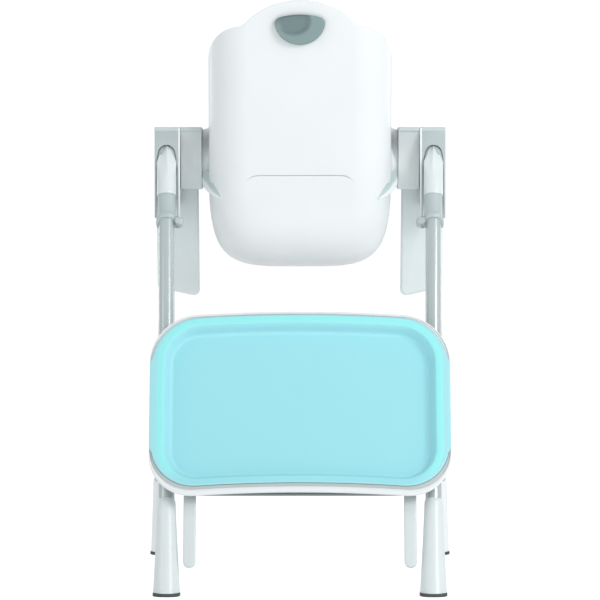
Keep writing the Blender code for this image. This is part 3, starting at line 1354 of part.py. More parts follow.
# Release paddle under the tray's front edge
grip_middle = TRAY_FRAME @ Vector((0, -TRAY_TOP - GRIP_DOWN - GRIP_LENGTH / 2, TRAY_UNDER))
paddle_axis = home("tray_release_slide", grip_middle, tray_axis)
grip = rounded(
    [
        (-GRIP_HALF, -TRAY_TOP - GRIP_DOWN - GRIP_LENGTH),
        (GRIP_HALF, -TRAY_TOP - GRIP_DOWN - GRIP_LENGTH),
        (GRIP_HALF, -TRAY_TOP - GRIP_DOWN),
        (-GRIP_HALF, -TRAY_TOP - GRIP_DOWN),
    ],
    (0.010, 0.010, 0.014, 0.014),
)
grip_mesh = outline(grip, GRIP_THICK)
grip_mesh.transform(TRAY_FRAME @ Matrix.Translation((0, 0, TRAY_UNDER - FIT - GRIP_THICK / 2)))
bevel(part("tray_release", grip_mesh, "grey", paddle_axis), 0.0025, 1, 60)
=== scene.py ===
import math

import bmesh
import bpy
import numpy as np
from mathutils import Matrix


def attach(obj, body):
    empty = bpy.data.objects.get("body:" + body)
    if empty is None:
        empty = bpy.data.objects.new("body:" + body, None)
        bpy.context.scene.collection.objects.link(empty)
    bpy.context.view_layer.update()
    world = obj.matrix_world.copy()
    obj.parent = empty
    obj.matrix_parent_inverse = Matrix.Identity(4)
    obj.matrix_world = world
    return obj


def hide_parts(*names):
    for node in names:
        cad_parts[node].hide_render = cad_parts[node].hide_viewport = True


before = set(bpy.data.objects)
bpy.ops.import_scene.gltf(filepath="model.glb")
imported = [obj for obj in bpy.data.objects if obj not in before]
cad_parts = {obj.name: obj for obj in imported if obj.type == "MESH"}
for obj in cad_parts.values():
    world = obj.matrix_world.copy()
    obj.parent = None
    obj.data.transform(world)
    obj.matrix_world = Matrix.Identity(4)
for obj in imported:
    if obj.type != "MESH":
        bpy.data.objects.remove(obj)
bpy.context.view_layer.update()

# Front columns with their caps and leg heads: wide sleeves and hinge housings, moulded in a
# greyish white plastic. The head is screwed to the column and the cap is pressed into its top.


class Wire:
    """A value in a material. Arithmetic on it adds Math nodes, with numbers on either side."""

    def __init__(self, paint, socket):
        self.paint = paint
        self.socket = socket

    def math(self, operation, *values):
        return self.paint.node("Math", {"operation": operation}, dict(enumerate(values)))

    def __add__(self, other):
        return self.math("ADD", self, other)

    def __sub__(self, other):
        return self.math("SUBTRACT", self, other)

    def __rsub__(self, other):
        return self.math("SUBTRACT", other, self)

    def __mul__(self, other):
        return self.math("MULTIPLY", self, other)

    __radd__ = __add__
    __rmul__ = __mul__

    def step(self, low, high):
        """From 0 at low to 1 at high, eased at both ends."""
        ramp = {"interpolation_type": "SMOOTHSTEP"}
        return self.paint.node("MapRange", ramp, {0: self, 1: low, 2: high})


class Paint:
    """A material in the making: node() adds any node, and coat() feeds the shader."""

    def __init__(self, name):
        self.material = bpy.data.materials.new(name)
        self.material.use_nodes = True
        self.tree = self.material.node_tree
        self.shader = self.tree.nodes["Principled BSDF"]

    def node(self, kind, settings=None, sockets=None, output=0):
        made = self.tree.nodes.new("ShaderNode" + kind)
        for key, value in (settings or {}).items():
            setattr(made, key, value)
        for key, value in (sockets or {}).items():
            self.feed(made.inputs[key], value)
        return Wire(self, made.outputs[output])

    def feed(self, socket, value):
        if isinstance(value, Wire):
            self.tree.links.new(value.socket, socket)
        else:
            socket.default_value = value

    def place(self, scale=(1.0, 1.0, 1.0)):
        """Object coordinates, stretched by a scale for each axis."""
        where = self.node("TexCoord", output="Object")
        return self.node("Mapping", None, {"Vector": where, "Scale": scale})

    def along(self, axis, kind="Object"):
        """One of the object's coordinates, or with kind UV a share of the chart."""
        return self.node("SeparateXYZ", None, {0: self.node("TexCoord", output=kind)}, axis)

    def noise(self, scale, detail, stretch=(1.0, 1.0, 1.0)):
        sockets = {"Vector": self.place(stretch), "Scale": scale, "Detail": detail}
        return self.node("TexNoise", None, sockets)

    def wave(self, axis, scale):
        sockets = {"Vector": self.place(), "Scale": scale}
        return self.node("TexWave", {"bands_direction": axis}, sockets, "Fac")

    def mix(self, share, first, second):
        """From one colour to the other; a colour is a wire or three numbers."""
        ends = [c if isinstance(c, Wire) else (*c, 1.0) for c in (first, second)]
        return self.node("Mix", {"data_type": "RGBA"}, {0: share, 6: ends[0], 7: ends[1]}, 2)

    def coat(self, colour, roughness, height, depth, **fixed):
        """What varies goes to colour, roughness and bump; the rest is set on the shader's sockets."""
        self.feed(self.shader.inputs["Base Color"], colour)
        self.feed(self.shader.inputs["Roughness"], roughness)
        bump = self.node("Bump", None, {"Height": height, "Distance": depth, "Strength": 1.0})
        self.feed(self.shader.inputs["Normal"], bump)
        for key, value in fixed.items():
            self.shader.inputs[key.replace("_", " ")].default_value = value
        return self.material


def moulded(name, tone, gloss, stipple=0.00004, shade_by_height=None):
    """Moulded plastic: slow clouds in the tone, long faint scuffs in the gloss, and a fine stipple.
    Where shade by height is given, it dims the tone to a share from one height to another: painted
    shade."""
    paint = Paint(name)
    cloud = paint.noise(7.0, 3.0)
    scuff = paint.noise(5.0, 4.0, (30.0, 30.0, 4.0)).step(0.60, 0.74)
    grain = paint.noise(1500.0, 2.0)
    tone = np.array(tone)
    colour = paint.mix(cloud, tuple(tone * 0.965), tuple(np.minimum(tone * 1.02, 0.95)))
    # Painted shade: the tone dimmed towards one height.
    if shade_by_height:
        height = paint.along(2)
        painted_shade = paint.mix(cloud, tuple(tone * shade_by_height[2] * 0.965), tuple(tone * shade_by_height[2] * 1.02))
        colour = paint.mix(height.step(shade_by_height[1], shade_by_height[0]), colour, painted_shade)
    return paint.coat(colour, gloss + 0.10 * cloud + 0.07 * scuff, grain, stipple, Coat_Weight=0.12)


def keep(nodes, material):
    """Dresses CAD nodes: their triangles are welded and shaded smooth up to 32 degrees."""
    for name in nodes:
        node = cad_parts[name]
        node.data.materials.clear()
        node.data.materials.append(material)
        node.data.polygons.foreach_set("use_smooth", np.ones(len(node.data.polygons), bool))
        node.modifiers.new("weld", "WELD").merge_threshold = 0.00001
        node.modifiers.new("edges", "EDGE_SPLIT").split_angle = math.radians(32.0)


def ease(t):
    """From 0 to 1 with a level start and end."""
    t = np.clip(t, 0.0, 1.0)
    return t * t * (3 - 2 * t)


def unit(vectors):
    return vectors / np.linalg.norm(vectors, axis=-1, keepdims=True)


def together(*parts):
    """Coordinates side by side on a last axis, each stretched to the shape they share."""
    return np.stack(np.broadcast_arrays(*parts), axis=-1)


def round_at(turn):
    return together(np.cos(turn), np.sin(turn))


def skin(name, grid, material, body, nodes=(), around=True, along=False):
    """A piece on a grid of points: quads between neighbours, closed round each row and, where asked,
    from the last row to the first, with each column's and row's share as its UV map."""
    rows, columns = grid.shape[:2]
    r = np.arange(rows if along else rows - 1)[:, None]
    c = np.arange(columns if around else columns - 1)[None, :]
    corners = [(r, c), (r, c + 1), (r + 1, c + 1), (r + 1, c)]
    faces = together(*[(a % rows) * columns + b % columns for a, b in corners]).reshape(-1, 4)
    shares = [together(b / columns, a / rows) for a, b in corners]
    mesh = bpy.data.meshes.new(name)
    mesh.from_pydata(grid.reshape(-1, 3).tolist(), [], faces.tolist())
    chart = mesh.uv_layers.new(name="chart")
    chart.data.foreach_set("uv", np.stack(shares, axis=2).reshape(-1).astype(np.float32))
    return piece(name, mesh, material, body, nodes)


def joined(mesh, slivers=True):
    """Joins the points that meet, takes out slivers where asked and turns the faces out."""
    bm = bmesh.new()
    bm.from_mesh(mesh)
    bmesh.ops.remove_doubles(bm, verts=bm.verts, dist=0.000002)
    if slivers:
        bmesh.ops.dissolve_degenerate(bm, edges=bm.edges, dist=0.000002)
    bmesh.ops.recalc_face_normals(bm, faces=bm.faces)
    bm.to_mesh(mesh)
    bm.free()


def placed(name, data):
    """A new object in the scene."""
    made = bpy.data.objects.new(name, data)
    bpy.context.scene.collection.objects.link(made)
    return made


def piece(name, mesh, material, body, nodes=(), sharp=40.0):
    """Smooths a mesh up to a sharp angle and makes it a piece that rides on a body, in place of its
    CAD nodes."""
    joined(mesh)
    mesh.polygons.foreach_set("use_smooth", np.ones(len(mesh.polygons), bool))
    mesh.set_sharp_from_angle(angle=math.radians(sharp))
    mesh.materials.append(material)
    made = placed(name, mesh)
    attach(made, body)
    if nodes:
        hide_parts(*nodes)
    return made


def drawn_in(outline, margin):
    """A closed outline moved inward, square to itself, by a margin."""
    along = np.roll(outline, -1, axis=0) - np.roll(outline, 1, axis=0)
    inward = unit(together(-along[..., 1], along[..., 0]))
    ahead = np.roll(outline, -1, axis=0)
    area = np.sum(outline[..., 0] * ahead[..., 1] - outline[..., 1] * ahead[..., 0])
    return outline + inward * math.copysign(1.0, area) * margin


def plate(outline, steps, place=(0.0, 0.0, 0.0), axes=np.eye(3)):
    """A slab on a closed outline: each step draws the outline in by a margin at a level, and the
    first and last close on the middle."""
    outline = np.asarray(outline, float)
    steps = np.asarray(steps, float)
    flat = np.broadcast_to(outline[:, None], (len(outline), len(steps), 2))
    flat = drawn_in(flat, steps[None, :, :1]).transpose(1, 0, 2)
    middle = np.broadcast_to(outline.mean(axis=0), (1, *outline.shape))
    flat = np.concatenate([middle, flat, middle])
    level = np.concatenate([steps[:1, 1], steps[:, 1], steps[-1:, 1]])
    level = np.broadcast_to(level[:, None, None], (*flat.shape[:2], 1))
    points = np.concatenate([flat, level], axis=-1)
    return points @ axes + place


def round_edge(low, high, radius, count=5):
    """Margins and levels of a slab's side with both edges rounded."""
    turn = np.linspace(0, math.pi / 2, count)
    lower = together(radius * (1 - np.sin(turn)), low + radius * (1 - np.cos(turn)))
    upper = together(radius * (1 - np.cos(turn)), high - radius * (1 - np.sin(turn)))
    return np.concatenate([lower, upper])


def round_corners(points, radii, count=8):
    """A polygon with an arc of the given radius at each corner."""
    points = np.asarray(points, float)
    arcs = []
    beside = np.roll(points, 1, axis=0), np.roll(points, -1, axis=0)
    for here, before, after, radius in zip(points, *beside, radii):
        to_before, to_after = unit(before - here), unit(after - here)
        half = math.acos(np.clip(to_before @ to_after, -1, 1)) / 2
        centre = here + unit(to_before + to_after) * radius / math.sin(half)
        start = here + to_before * radius / math.tan(half) - centre
        end = here + to_after * radius / math.tan(half) - centre
        share = np.linspace(0, 1, count)[:, None]
        swing = math.pi - 2 * half
        arc = (np.sin((1 - share) * swing) * start + np.sin(share * swing) * end) / math.sin(swing)
        arcs.append(centre + arc)
    return np.concatenate(arcs)


def closer(outline, gap):
    """The same closed outline with its points about a gap apart."""
    loop = np.concatenate([outline, outline[:1]])
    way = np.concatenate([[0], np.cumsum(np.linalg.norm(np.diff(loop, axis=0), axis=1))])
    at = np.linspace(0, way[-1], max(int(way[-1] / gap), 16), endpoint=False)
    return together(np.interp(at, way, loop[:, 0]), np.interp(at, way, loop[:, 1]))


def slab(corners, radii, gap, levels, edge, place=(0.0, 0.0, 0.0), axes=np.eye(3), count=5):
    """A plate on a polygon with rounded corners and points about a gap apart, between two levels."""
    outline = closer(round_corners(corners, radii), gap)
    return plate(outline, round_edge(*sorted(levels), edge, count), place, axes)


def circle(radius, count=48):
    return radius * round_at(np.linspace(0, math.tau, count, endpoint=False))


def lathe(profile, origin=(0.0, 0.0, 0.0), axes=np.eye(3), count=64):
    """A profile of radius and height turned about the third axis."""
    profile = np.asarray(profile, float)
    ring = circle(1.0, count)
    level = np.broadcast_to(profile[:, None, 1:], (len(profile), count, 1))
    return origin + np.concatenate([profile[:, None, :1] * ring, level], axis=-1) @ axes


def capped(grid):
    """A grid with its first and last row closed on their middles."""
    ends = [np.broadcast_to(row.mean(axis=0), (1, *row.shape)) for row in (grid[0], grid[-1])]
    return np.concatenate([ends[0], grid, ends[1]])


def baked(made):
    """The mesh that an object's modifiers leave. They are taken off after it."""
    graph = bpy.context.evaluated_depsgraph_get()
    mesh = bpy.data.meshes.new_from_object(made.evaluated_get(graph))
    made.modifiers.clear()
    return mesh


def carve(made, grid):
    """Cuts the closed surface of a grid out of a piece."""
    tool = skin("tool", grid, made.data.materials[0], "frame")
    trim = made.modifiers.new("cut", "BOOLEAN")
    trim.operation = "DIFFERENCE"
    trim.solver = "EXACT"
    trim.object = tool
    made.data = baked(made)
    made.data.set_sharp_from_angle(angle=math.radians(40))
    bpy.data.objects.remove(tool)


LEAN = math.radians(22.0)
DOWN_COLUMN = np.array([0.0, math.sin(LEAN), -math.cos(LEAN)])


def column_y(z, off=0.0):
    """Y of the column's axis at a height, or of a plane square to it."""
    return 0.010 + (0.862 - z) * math.tan(LEAN) + off / math.cos(LEAN)


SIDES = (("left", -1.0), ("right", 1.0))
# The columns' white is dimmed towards their top: painted shade.
frame_white = moulded("frame_white", (0.855, 0.93, 0.935), 0.34, shade_by_height=(0.86, 0.60, 0.82))
INTO_COLUMN = np.stack([[1.0, 0.0, 0.0], -DOWN_COLUMN, [0.0, -math.cos(LEAN), -math.sin(LEAN)]])
SLEEVE = np.array([[1.0, 0.0, 0.0], [0.0, -math.tan(LEAN), 1.0], [0.0, -1 / math.cos(LEAN), 0.0]])
COLUMN_IN, COLUMN_OUT, COLUMN_HALF, COLUMN_TOP = 0.197, 0.279, 0.018, 0.8567
NOTCHES, NOTCH_TOP, NOTCH_PITCH, NOTCH_RADIUS = 6, 0.7745, 0.040, 0.005
bore = [(0, -0.01), (NOTCH_RADIUS, -0.01), (NOTCH_RADIUS, 0.008), (0, 0.008)]
for side, sign in SIDES:
    ends = [(COLUMN_IN, COLUMN_TOP), (COLUMN_OUT, COLUMN_TOP)]
    ends = np.array([*ends, (COLUMN_OUT, 0.549), (COLUMN_IN, 0.531)]) * (sign, 1)
    radii, levels = (0.001, 0.001, 0.006, 0.011), (-COLUMN_HALF, COLUMN_HALF)
    grid = slab(ends, radii, 0.0025, levels, 0.0055, (0.0, column_y(0.0), 0.0), SLEEVE, 7)
    column = skin(f"sleeve_{side}", grid, frame_white, "frame", [f"column_{side}"])
    for notch in range(NOTCHES):
        z = NOTCH_TOP - notch * NOTCH_PITCH * math.cos(LEAN)
        mouth = np.array([sign * 0.213, column_y(z, COLUMN_HALF), z])
        carve(column, lathe(bore, mouth, INTO_COLUMN, 24))
cap_white = moulded("cap_white", (0.56, 0.63, 0.635), 0.28)
keep(["column_cap_left", "column_cap_right"], cap_white)
head_white = moulded("head_white", (0.465, 0.535, 0.54), 0.32)
keep(["leg_head_left", "leg_head_right"], head_white)
PIVOT = np.array([0.0, -0.0237254, 0.812])
# The light strips along the heads' inner edges stand for a lit edge: their bright tone is a painted
# highlight.
highlight_white = moulded("highlight_white", (0.90, 0.925, 0.93), 0.22)
AHEAD = np.array([[0.0, 1.0, 0.0], [0.0, 0.0, 1.0], [1.0, 0.0, 0.0]])


def lid(name, sign, x, y, body):
    """A thin plate on top of a housing, between two X and two Y."""
    corners = np.array([(x[0], y[0]), (x[1], y[0]), (x[1], y[1]), (x[0], y[1])]) * (sign, 1)
    grid = slab(corners, (0.002,) * 4, 0.002, (0.8550, 0.8625), 0.0012)
    skin(name, grid, cap_white, body)


for side, sign in SIDES:
    edge = PIVOT[1] - 0.0108
    strip = [(edge, 0.690), (edge + 0.006, 0.690), (edge + 0.006, 0.8612), (edge, 0.8612)]
    radii, levels = (0.0015, 0.0005, 0.0005, 0.001), (sign * 0.2299, sign * 0.2336)
    grid = slab(strip, radii, 0.001, levels, 0.0007, axes=AHEAD)
    # A bright strip on the head's inner edge: painted highlight.
    skin(f"head_highlight_{side}", grid, highlight_white, "frame")
    lid(f"head_lid_{side}", sign, (0.2315, 0.2790), (-0.0345, -0.0090), "frame")

# Front tubes and their cross tube: drawn steel, bent once below the column and painted in a
# light metallic grey. The lower ends are pressed into the boots.


def smooth_path(points, count):
    """A curve through given points: a cubic between neighbours whose slope at each is that of the
    chord between the points beside it."""
    points = np.asarray(points, float)
    slope = np.gradient(points, axis=0)
    t = np.linspace(0, len(points) - 1, count)
    k = np.minimum(t.astype(int), len(points) - 2)
    t = (t - k)[:, None]
    a, b = points[k], points[k + 1]
    rise = (2 * t**3 - 3 * t**2 + 1) * a + (3 * t**2 - 2 * t**3) * b
    return rise + (t**3 - 2 * t**2 + t) * slope[k] + (t**3 - t**2) * slope[k + 1]


def sweep(path, along, profile, up):
    """A profile (across, up) carried along a path, square to the direction given for each place."""
    across = unit(np.cross(along, np.asarray(up, float)))
    lift = np.cross(across, along)
    return path[:, None] + across[:, None] * profile[..., :1] + lift[:, None] * profile[..., 1:]


def pipe(name, path, radius, up, body, nodes):
    """A painted round tube along a path, with a small chamfer and a flat cap at both ends."""
    path = np.asarray(path, float)
    steps = np.concatenate([[0, 0, 0], np.arange(1, len(path) - 1), [len(path) - 1] * 3])
    share = np.ones(len(steps))
    share[[0, -1]] = 0.0
    share[[1, -2]] = 0.93
    route = path[steps]
    route[2] += unit(path[1] - path[0]) * 0.001
    route[-3] -= unit(path[-1] - path[-2]) * 0.001
    along = unit(np.gradient(path, axis=0))[steps]
    grid = sweep(route, along, circle(radius) * share[:, None, None], up)
    return skin(name, grid, tube_paint, body, nodes)


def tube_coat():
    """Metallic paint: fine flakes in the tone and gloss, over a faint orange peel."""
    paint = Paint("tube_paint")
    flake = paint.noise(2600.0, 1.0).step(0.35, 0.75)
    peel = paint.noise(260.0, 2.0)
    cloud = paint.noise(6.0, 2.0)
    colour = paint.mix(0.6 * flake + 0.4 * cloud, (0.49, 0.56, 0.565), (0.58, 0.645, 0.65))
    return paint.coat(colour, 0.20 + 0.10 * flake, peel, 0.00004, Metallic=0.25, Coat_Weight=0.7)


TUBE_RADIUS, TIE_RADIUS = 0.015, 0.011
tube_paint = tube_coat()
front_legs = {}
for side, sign in SIDES:
    foot = np.array([sign * 0.2843, column_y(0.0), 0.0])
    bend = np.array([sign * 0.2625, column_y(0.531), 0.531]) + DOWN_COLUMN * 0.012
    splay = unit(foot - bend)
    top = np.array([sign * 0.2625, column_y(0.601), 0.601]) + DOWN_COLUMN * 0.0006
    front_legs[side] = (foot, splay)
    turn = np.linspace(-1, 1, 9)[:, None]
    elbow = bend + 0.010 * (DOWN_COLUMN * (turn - 1) / 2 + splay * (turn + 1) / 2)
    route = np.concatenate([[top], elbow, [foot - splay * 0.040]])
    nodes = [f"front_tube_{side}"]
    pipe(f"leg_front_{side}", route, TUBE_RADIUS, (1, 0, 0), "frame", nodes)
bar = np.linspace((-0.2563, column_y(0.300), 0.300), (0.2563, column_y(0.300), 0.300), 5)
pipe("tie_front", bar, TIE_RADIUS, (0, 0, 1), "frame", ["front_cross_tube"])

# Boots of the front legs: flared white mouldings pressed over the tubes, with black rubber soles
# glued underneath. The soles are ribbed where they touch the floor.


def axes_on(up):
    """Right, front and up as rows, with right as near the X axis as it can be."""
    up = unit(np.asarray(up, float))
    right = unit(np.array([1.0, 0.0, 0.0]) - up * up[0])
    return np.stack([right, np.cross(up, right), up])


def foot_shell(origin, up, neck, half_x, half_y, floor):
    """Oval rings down a leg: after a short cone each half-axis grows from the neck with the 1.25th
    power of the way, and the way ends at the floor level on every side."""
    axes = axes_on(up)
    t = np.concatenate([[0, 0, 0.035], np.linspace(0.05, 1, 40), [1]])[:, None]
    turn = np.linspace(0, math.tau, 64, endpoint=False)[None]
    share = np.ones_like(t)
    share[[0, -1]] = 0.0
    share[1] = 0.91
    flare = t**1.25
    x = share * (neck + (half_x - neck) * flare) * np.cos(turn)
    y = share * (neck + (half_y - neck) * flare) * np.sin(turn)
    reach = (origin[2] - floor + x[-2] * axes[0, 2] + y[-2] * axes[1, 2]) / axes[2, 2]
    reach = np.where(share > 0, reach, (origin[2] - floor) / axes[2, 2])
    return origin + together(x, y, -reach * t) @ axes


def oblong(half_x, half_y, power, count=72):
    """A rounded oblong: a circle whose cosine and sine are raised to a power."""
    ring = circle(1.0, count)
    return np.array([half_x, half_y]) * np.sign(ring) * abs(ring) ** power


def rubber_coat():
    """Soft rubber: dusty clouds over near black, with ribs across the foot and a pebbled grain."""
    paint = Paint("sole_rubber")
    cloud = paint.noise(60.0, 4.0)
    pebble = paint.noise(900.0, 2.0)
    ribs = paint.wave("Y", 60.0)
    colour = paint.mix(cloud, (0.045, 0.058, 0.060), (0.085, 0.105, 0.108))
    return paint.coat(colour, 0.70 + 0.15 * cloud, 0.7 * ribs + 0.3 * pebble, 0.0002)


shoe_white = moulded("shoe_white", (0.75, 0.81, 0.815), 0.30)
# The boots' white is a brighter copy of the shoes' white, lifted for the shade they stand in: painted
# light.
boot_lit_white = moulded("boot_lit_white", (0.90, 0.94, 0.945), 0.30)
sole_rubber = rubber_coat()
SKIRT = 0.0062
sole_edge = round_edge(0.0, 0.0060, 0.0012)
for side, (foot, splay) in front_legs.items():
    boot = foot_shell(foot - splay * 0.170, -splay, 0.0172, 0.0183, 0.0285, SKIRT)
    skin(f"boot_{side}", boot, boot_lit_white, "frame", [f"front_boot_{side}"])
    sole = plate(oblong(0.0193, 0.0300, 0.75), sole_edge, foot)
    skin(f"sole_front_{side}", sole, sole_rubber, "frame", [f"front_sole_{side}"])

# Rear legs: straight painted tubes in plastic knuckles with a pointed, ridged top, which turn on
# steel pins in the leg heads. A cross tube is welded between them.
REAR_LEAN = math.radians(22.4)
KNUCKLE = 0.01885


def ridged(local, sign):
    """A turned knuckle with a pointed top: its half width grows with the 0.85th power of the way down
    from the tip, and its rear falls from a ridge to both sides like a roof, less so further down."""
    x, y, z = np.moveaxis(local, -1, 0)
    row = np.maximum(np.hypot(x, y), 0.000001)
    height = z * math.cos(REAR_LEAN) - y * math.sin(REAR_LEAN)
    arch = 0.0185 * np.clip((0.0155 - height) / 0.035, 0.001, 1) ** 0.85
    roof = -row * (1 - 0.40 * abs(x / row + sign * 0.12))
    y = np.where(y < 0, y + (roof - y) * ease((height + 0.050) / 0.030), y)
    return together(x / row * np.minimum(row, arch), y, z)


rear_legs = {}
for side, sign in SIDES:
    hinge = PIVOT + (sign * 0.25605, 0, 0)
    foot = np.array([sign * 0.2455, PIVOT[1] - PIVOT[2] * math.tan(REAR_LEAN), 0.0])
    axes = axes_on(hinge - foot)
    rear_legs[side] = (hinge, foot, axes)
    low = 0.060 - np.linalg.norm(hinge - foot)
    tube = [(0, -0.0283), (0.0142, -0.0283), (TUBE_RADIUS, -0.0291)]
    tube += [(TUBE_RADIUS, z) for z in np.linspace(-0.05, low + 0.03, 24)]
    tube += [(TUBE_RADIUS, low + 0.0008), (0.0142, low), (0, low)]
    grid = lathe(tube, hinge, axes)
    skin(f"leg_rear_{side}", grid, tube_paint, "rear_frame", [f"rear_tube_{side}"])
    turn = np.linspace(math.pi / 2, 0, 16)
    dome = KNUCKLE * round_at(turn)
    rest = [(KNUCKLE, z) for z in np.linspace(-0.002, -0.0862, 30)]
    rest += [(0.01855, -0.0876), (0.0178, -0.088), (0.0175, -0.0874), (0.0175, -0.060)]
    rest += [(0.0153, -0.060), (0.0153, -0.028), (0.0, -0.028)]
    nodes = [f"rear_knuckle_{side}"]
    grid = hinge + ridged(lathe(np.concatenate([dome, rest])), sign) @ axes
    skin(f"knuckle_{side}", grid, shoe_white, "rear_frame", nodes)
    ball = np.concatenate([dome * 0.985, [(0.0186, -0.030), (0.0, -0.030)]])
    grid = hinge + lathe(ball) * (1.0, 0.72, 1.01) @ axes
    skin(f"knuckle_ball_{side}", grid, head_white, "rear_frame", nodes)
LEG_UP = np.array([0.0, math.sin(REAR_LEAN), math.cos(REAR_LEAN)])
LEG_OUT = np.array([0.0, -math.cos(REAR_LEAN), math.sin(REAR_LEAN)])
TRAY_AXES = np.stack([[1.0, 0.0, 0.0], LEG_UP, LEG_OUT])
cross = PIVOT - LEG_UP * 0.440
bar = np.linspace(cross - (0.2350, 0, 0), cross + (0.2350, 0, 0), 5)
pipe("tie_rear", bar, TIE_RADIUS, (0, 0, 1), "rear_frame", ["rear_cross_tube"])


def steel_coat():
    """Bright steel: fine turning lines across the pieces and a little tarnish."""
    paint = Paint("steel")
    lines = paint.noise(60.0, 3.0, (40.0, 1.0, 1.0))
    tarnish = paint.noise(40.0, 3.0)
    colour = paint.mix(tarnish, (0.50, 0.515, 0.53), (0.64, 0.65, 0.66))
    return paint.coat(colour, 0.22 + 0.14 * lines, lines, 0.00003, Metallic=1.0)


steel = steel_coat()
keep(["fold_pin_left", "fold_pin_right"], steel)

# Fold collars: light grey sleeves on the rear legs with a flared lip and a finger tab towards the
# middle. Lifting both lets the frame fold.
collar_grey = moulded("collar_grey", (0.49, 0.565, 0.57), 0.36)
for side, sign in SIDES:
    hinge, _, axes = rear_legs[side]
    body = [(0.0153, -0.070), (0.0166, -0.070), (0.0172, -0.071), (0.0172, -0.100), (0.0172, -0.127)]
    lip = [(0.0172, -0.127), (0.0180, -0.132), (0.0198, -0.140), (0.0203, -0.144), (0.0199, -0.148)]
    tail = [(0.0187, -0.150), (0.0153, -0.150), (0.0153, -0.070)]
    local = lathe(np.concatenate([body, smooth_path(lip, 20), tail]))
    rear = ease((-local[..., 1] / 0.0172 + 0.35) / 1.35) * ease((-0.118 - local[..., 2]) / 0.030)
    local[..., 2] += 0.012 * rear
    grid = hinge + local @ axes
    nodes = [f"fold_collar_{side}"]
    skin(f"collar_{side}", grid, collar_grey, f"collar_{side}", nodes)
    corners = np.array([(-0.033, -0.010), (-0.0165, -0.014), (-0.0165, 0.014), (-0.033, 0.010)])
    tab = closer(round_corners(corners, (0.008, 0.001, 0.001, 0.008)) * (sign, 1), 0.0012)
    grid = plate(tab, round_edge(-0.1505, -0.1335, 0.006), hinge, axes)
    skin(f"collar_tab_{side}", grid, collar_grey, f"collar_{side}", nodes)

# Rear shoes: long flared mouldings pressed over the tubes, with rubber soles glued underneath.
# Their flare runs down the last fifth of the leg.
for side, (_, foot, axes) in rear_legs.items():
    shoe = foot_shell(foot + axes[2] * 0.184, axes[2], 0.0170, 0.0250, 0.0285, SKIRT)
    skin(f"shoe_{side}", shoe, shoe_white, "rear_frame", [f"rear_shoe_{side}"])
    sole = plate(oblong(0.0255, 0.0300, 0.75), sole_edge, foot)
    skin(f"sole_rear_{side}", sole, sole_rubber, "rear_frame", [f"rear_sole_{side}"])

# Carriages: plastic clamps that slide on the columns and carry the seat on steel axles, each with
# a height button in its front.
# The carriages' white is dimmed towards their top: painted shade.
carriage_white = moulded("carriage_white", (0.89, 0.95, 0.95), 0.32, shade_by_height=(0.85, 0.755, 0.68))
keep(["carriage_left", "carriage_right"], carriage_white)
for side, sign in SIDES:
    lid(f"carriage_lid_{side}", sign, (0.1891, 0.2296), (-0.0333, -0.0110), "carriage")
keep(["recline_axle_left", "recline_axle_right"], steel)
button_grey = moulded("button_grey", (0.22, 0.285, 0.295), 0.40, 0.00006)
keep(["height_button_left", "height_button_right"], button_grey)

# Seat back: one white moulding with a domed top, round shoulders and two arms, 4 mm thick and
# rounded on its edges. An opening near the top holds the recline handle.
AXLE = np.array([0.0, 0.0803734, 0.8025])
TUB_HALF, TUB_CORNER = 0.1746, 0.075
TUB_FLAT, TUB_ARC = TUB_HALF - TUB_CORNER, TUB_CORNER * math.pi / 2
WALL, WALL_RUN = 0.004, 0.125
TUB_TOP, DOME = 1.100, 0.146
SHOULDER_Z, SHOULDER_RISE = 0.985, 0.066
ARM_HALF, ARM_LEVEL, ARM_TIP = 0.068, 0.200, 0.050
SEAM_HIGH, SEAM_LOW = 0.770, 0.728


def tub_section(s):
    """The tub's U in plan at a distance s from its middle: a flat, a quarter round, a straight wall.
    Gives X, forward Y and the outward direction."""
    turn = np.clip((abs(s) - TUB_FLAT) / TUB_CORNER, 0, math.pi / 2)
    x = np.minimum(abs(s), TUB_FLAT) + TUB_CORNER * np.sin(turn)
    y = TUB_CORNER * (1 - np.cos(turn)) + np.maximum(abs(s) - TUB_FLAT - TUB_ARC, 0)
    return np.sign(s) * x, y, np.sign(s) * np.sin(turn), -np.cos(turn)


def back_y(z):
    """Y of the back's outer face: a line that leans and curls away with height."""
    rise = z - SEAM_LOW
    return AXLE[1] - 0.17367 - 0.16 * rise - 0.07 * rise**2


def arm_half(y):
    """Half the height of an arm: level, then a half ellipse over its last 50 mm."""
    return ARM_HALF * np.sqrt(1 - np.clip((y - ARM_LEVEL) / ARM_TIP, 0, 1) ** 2)


def rim_z(s):
    """The back's upper edge: the higher of a dome and round shoulders, then a sweep to the arms."""
    x, y, _, _ = tub_section(s)
    dome = TUB_TOP - DOME + np.sqrt(np.maximum(DOME**2 - x**2, 0))
    t = np.maximum(abs(x) - TUB_FLAT, 0) / TUB_CORNER
    shoulder = SHOULDER_Z + SHOULDER_RISE * np.maximum(1 - t**2.5, 0) ** 0.4
    back = (dome + shoulder + np.sqrt((dome - shoulder) ** 2 + 0.004**2)) / 2
    arm_z = AXLE[2] + ARM_HALF
    descent = arm_z + (0.986 - arm_z) * (1 - np.clip((y - TUB_CORNER) / WALL_RUN, 0, 1)) ** 2
    arm = np.minimum(descent, AXLE[2] + arm_half(y))
    return np.where(y <= TUB_CORNER, back, arm)


def seam_z(x, y):
    """The back's lower edge: high in the middle, low at the sides, then level under the arms."""
    back = SEAM_HIGH - (SEAM_HIGH - SEAM_LOW) * ease((abs(x) - 0.080) / 0.069)
    start = TUB_CORNER * 0.66
    wall = SEAM_LOW + 0.0065 * ease((y - start) / (ARM_LEVEL - start))
    wall = np.maximum(wall, AXLE[2] - arm_half(y))
    return np.where(y < start, back, wall)


def back_point(s, z, inset):
    """A place on the back at a distance round its section and a height, set in from outside."""
    x, y, nx, ny = tub_section(s)
    return together(x - inset * nx, back_y(z) + y - inset * ny, z)


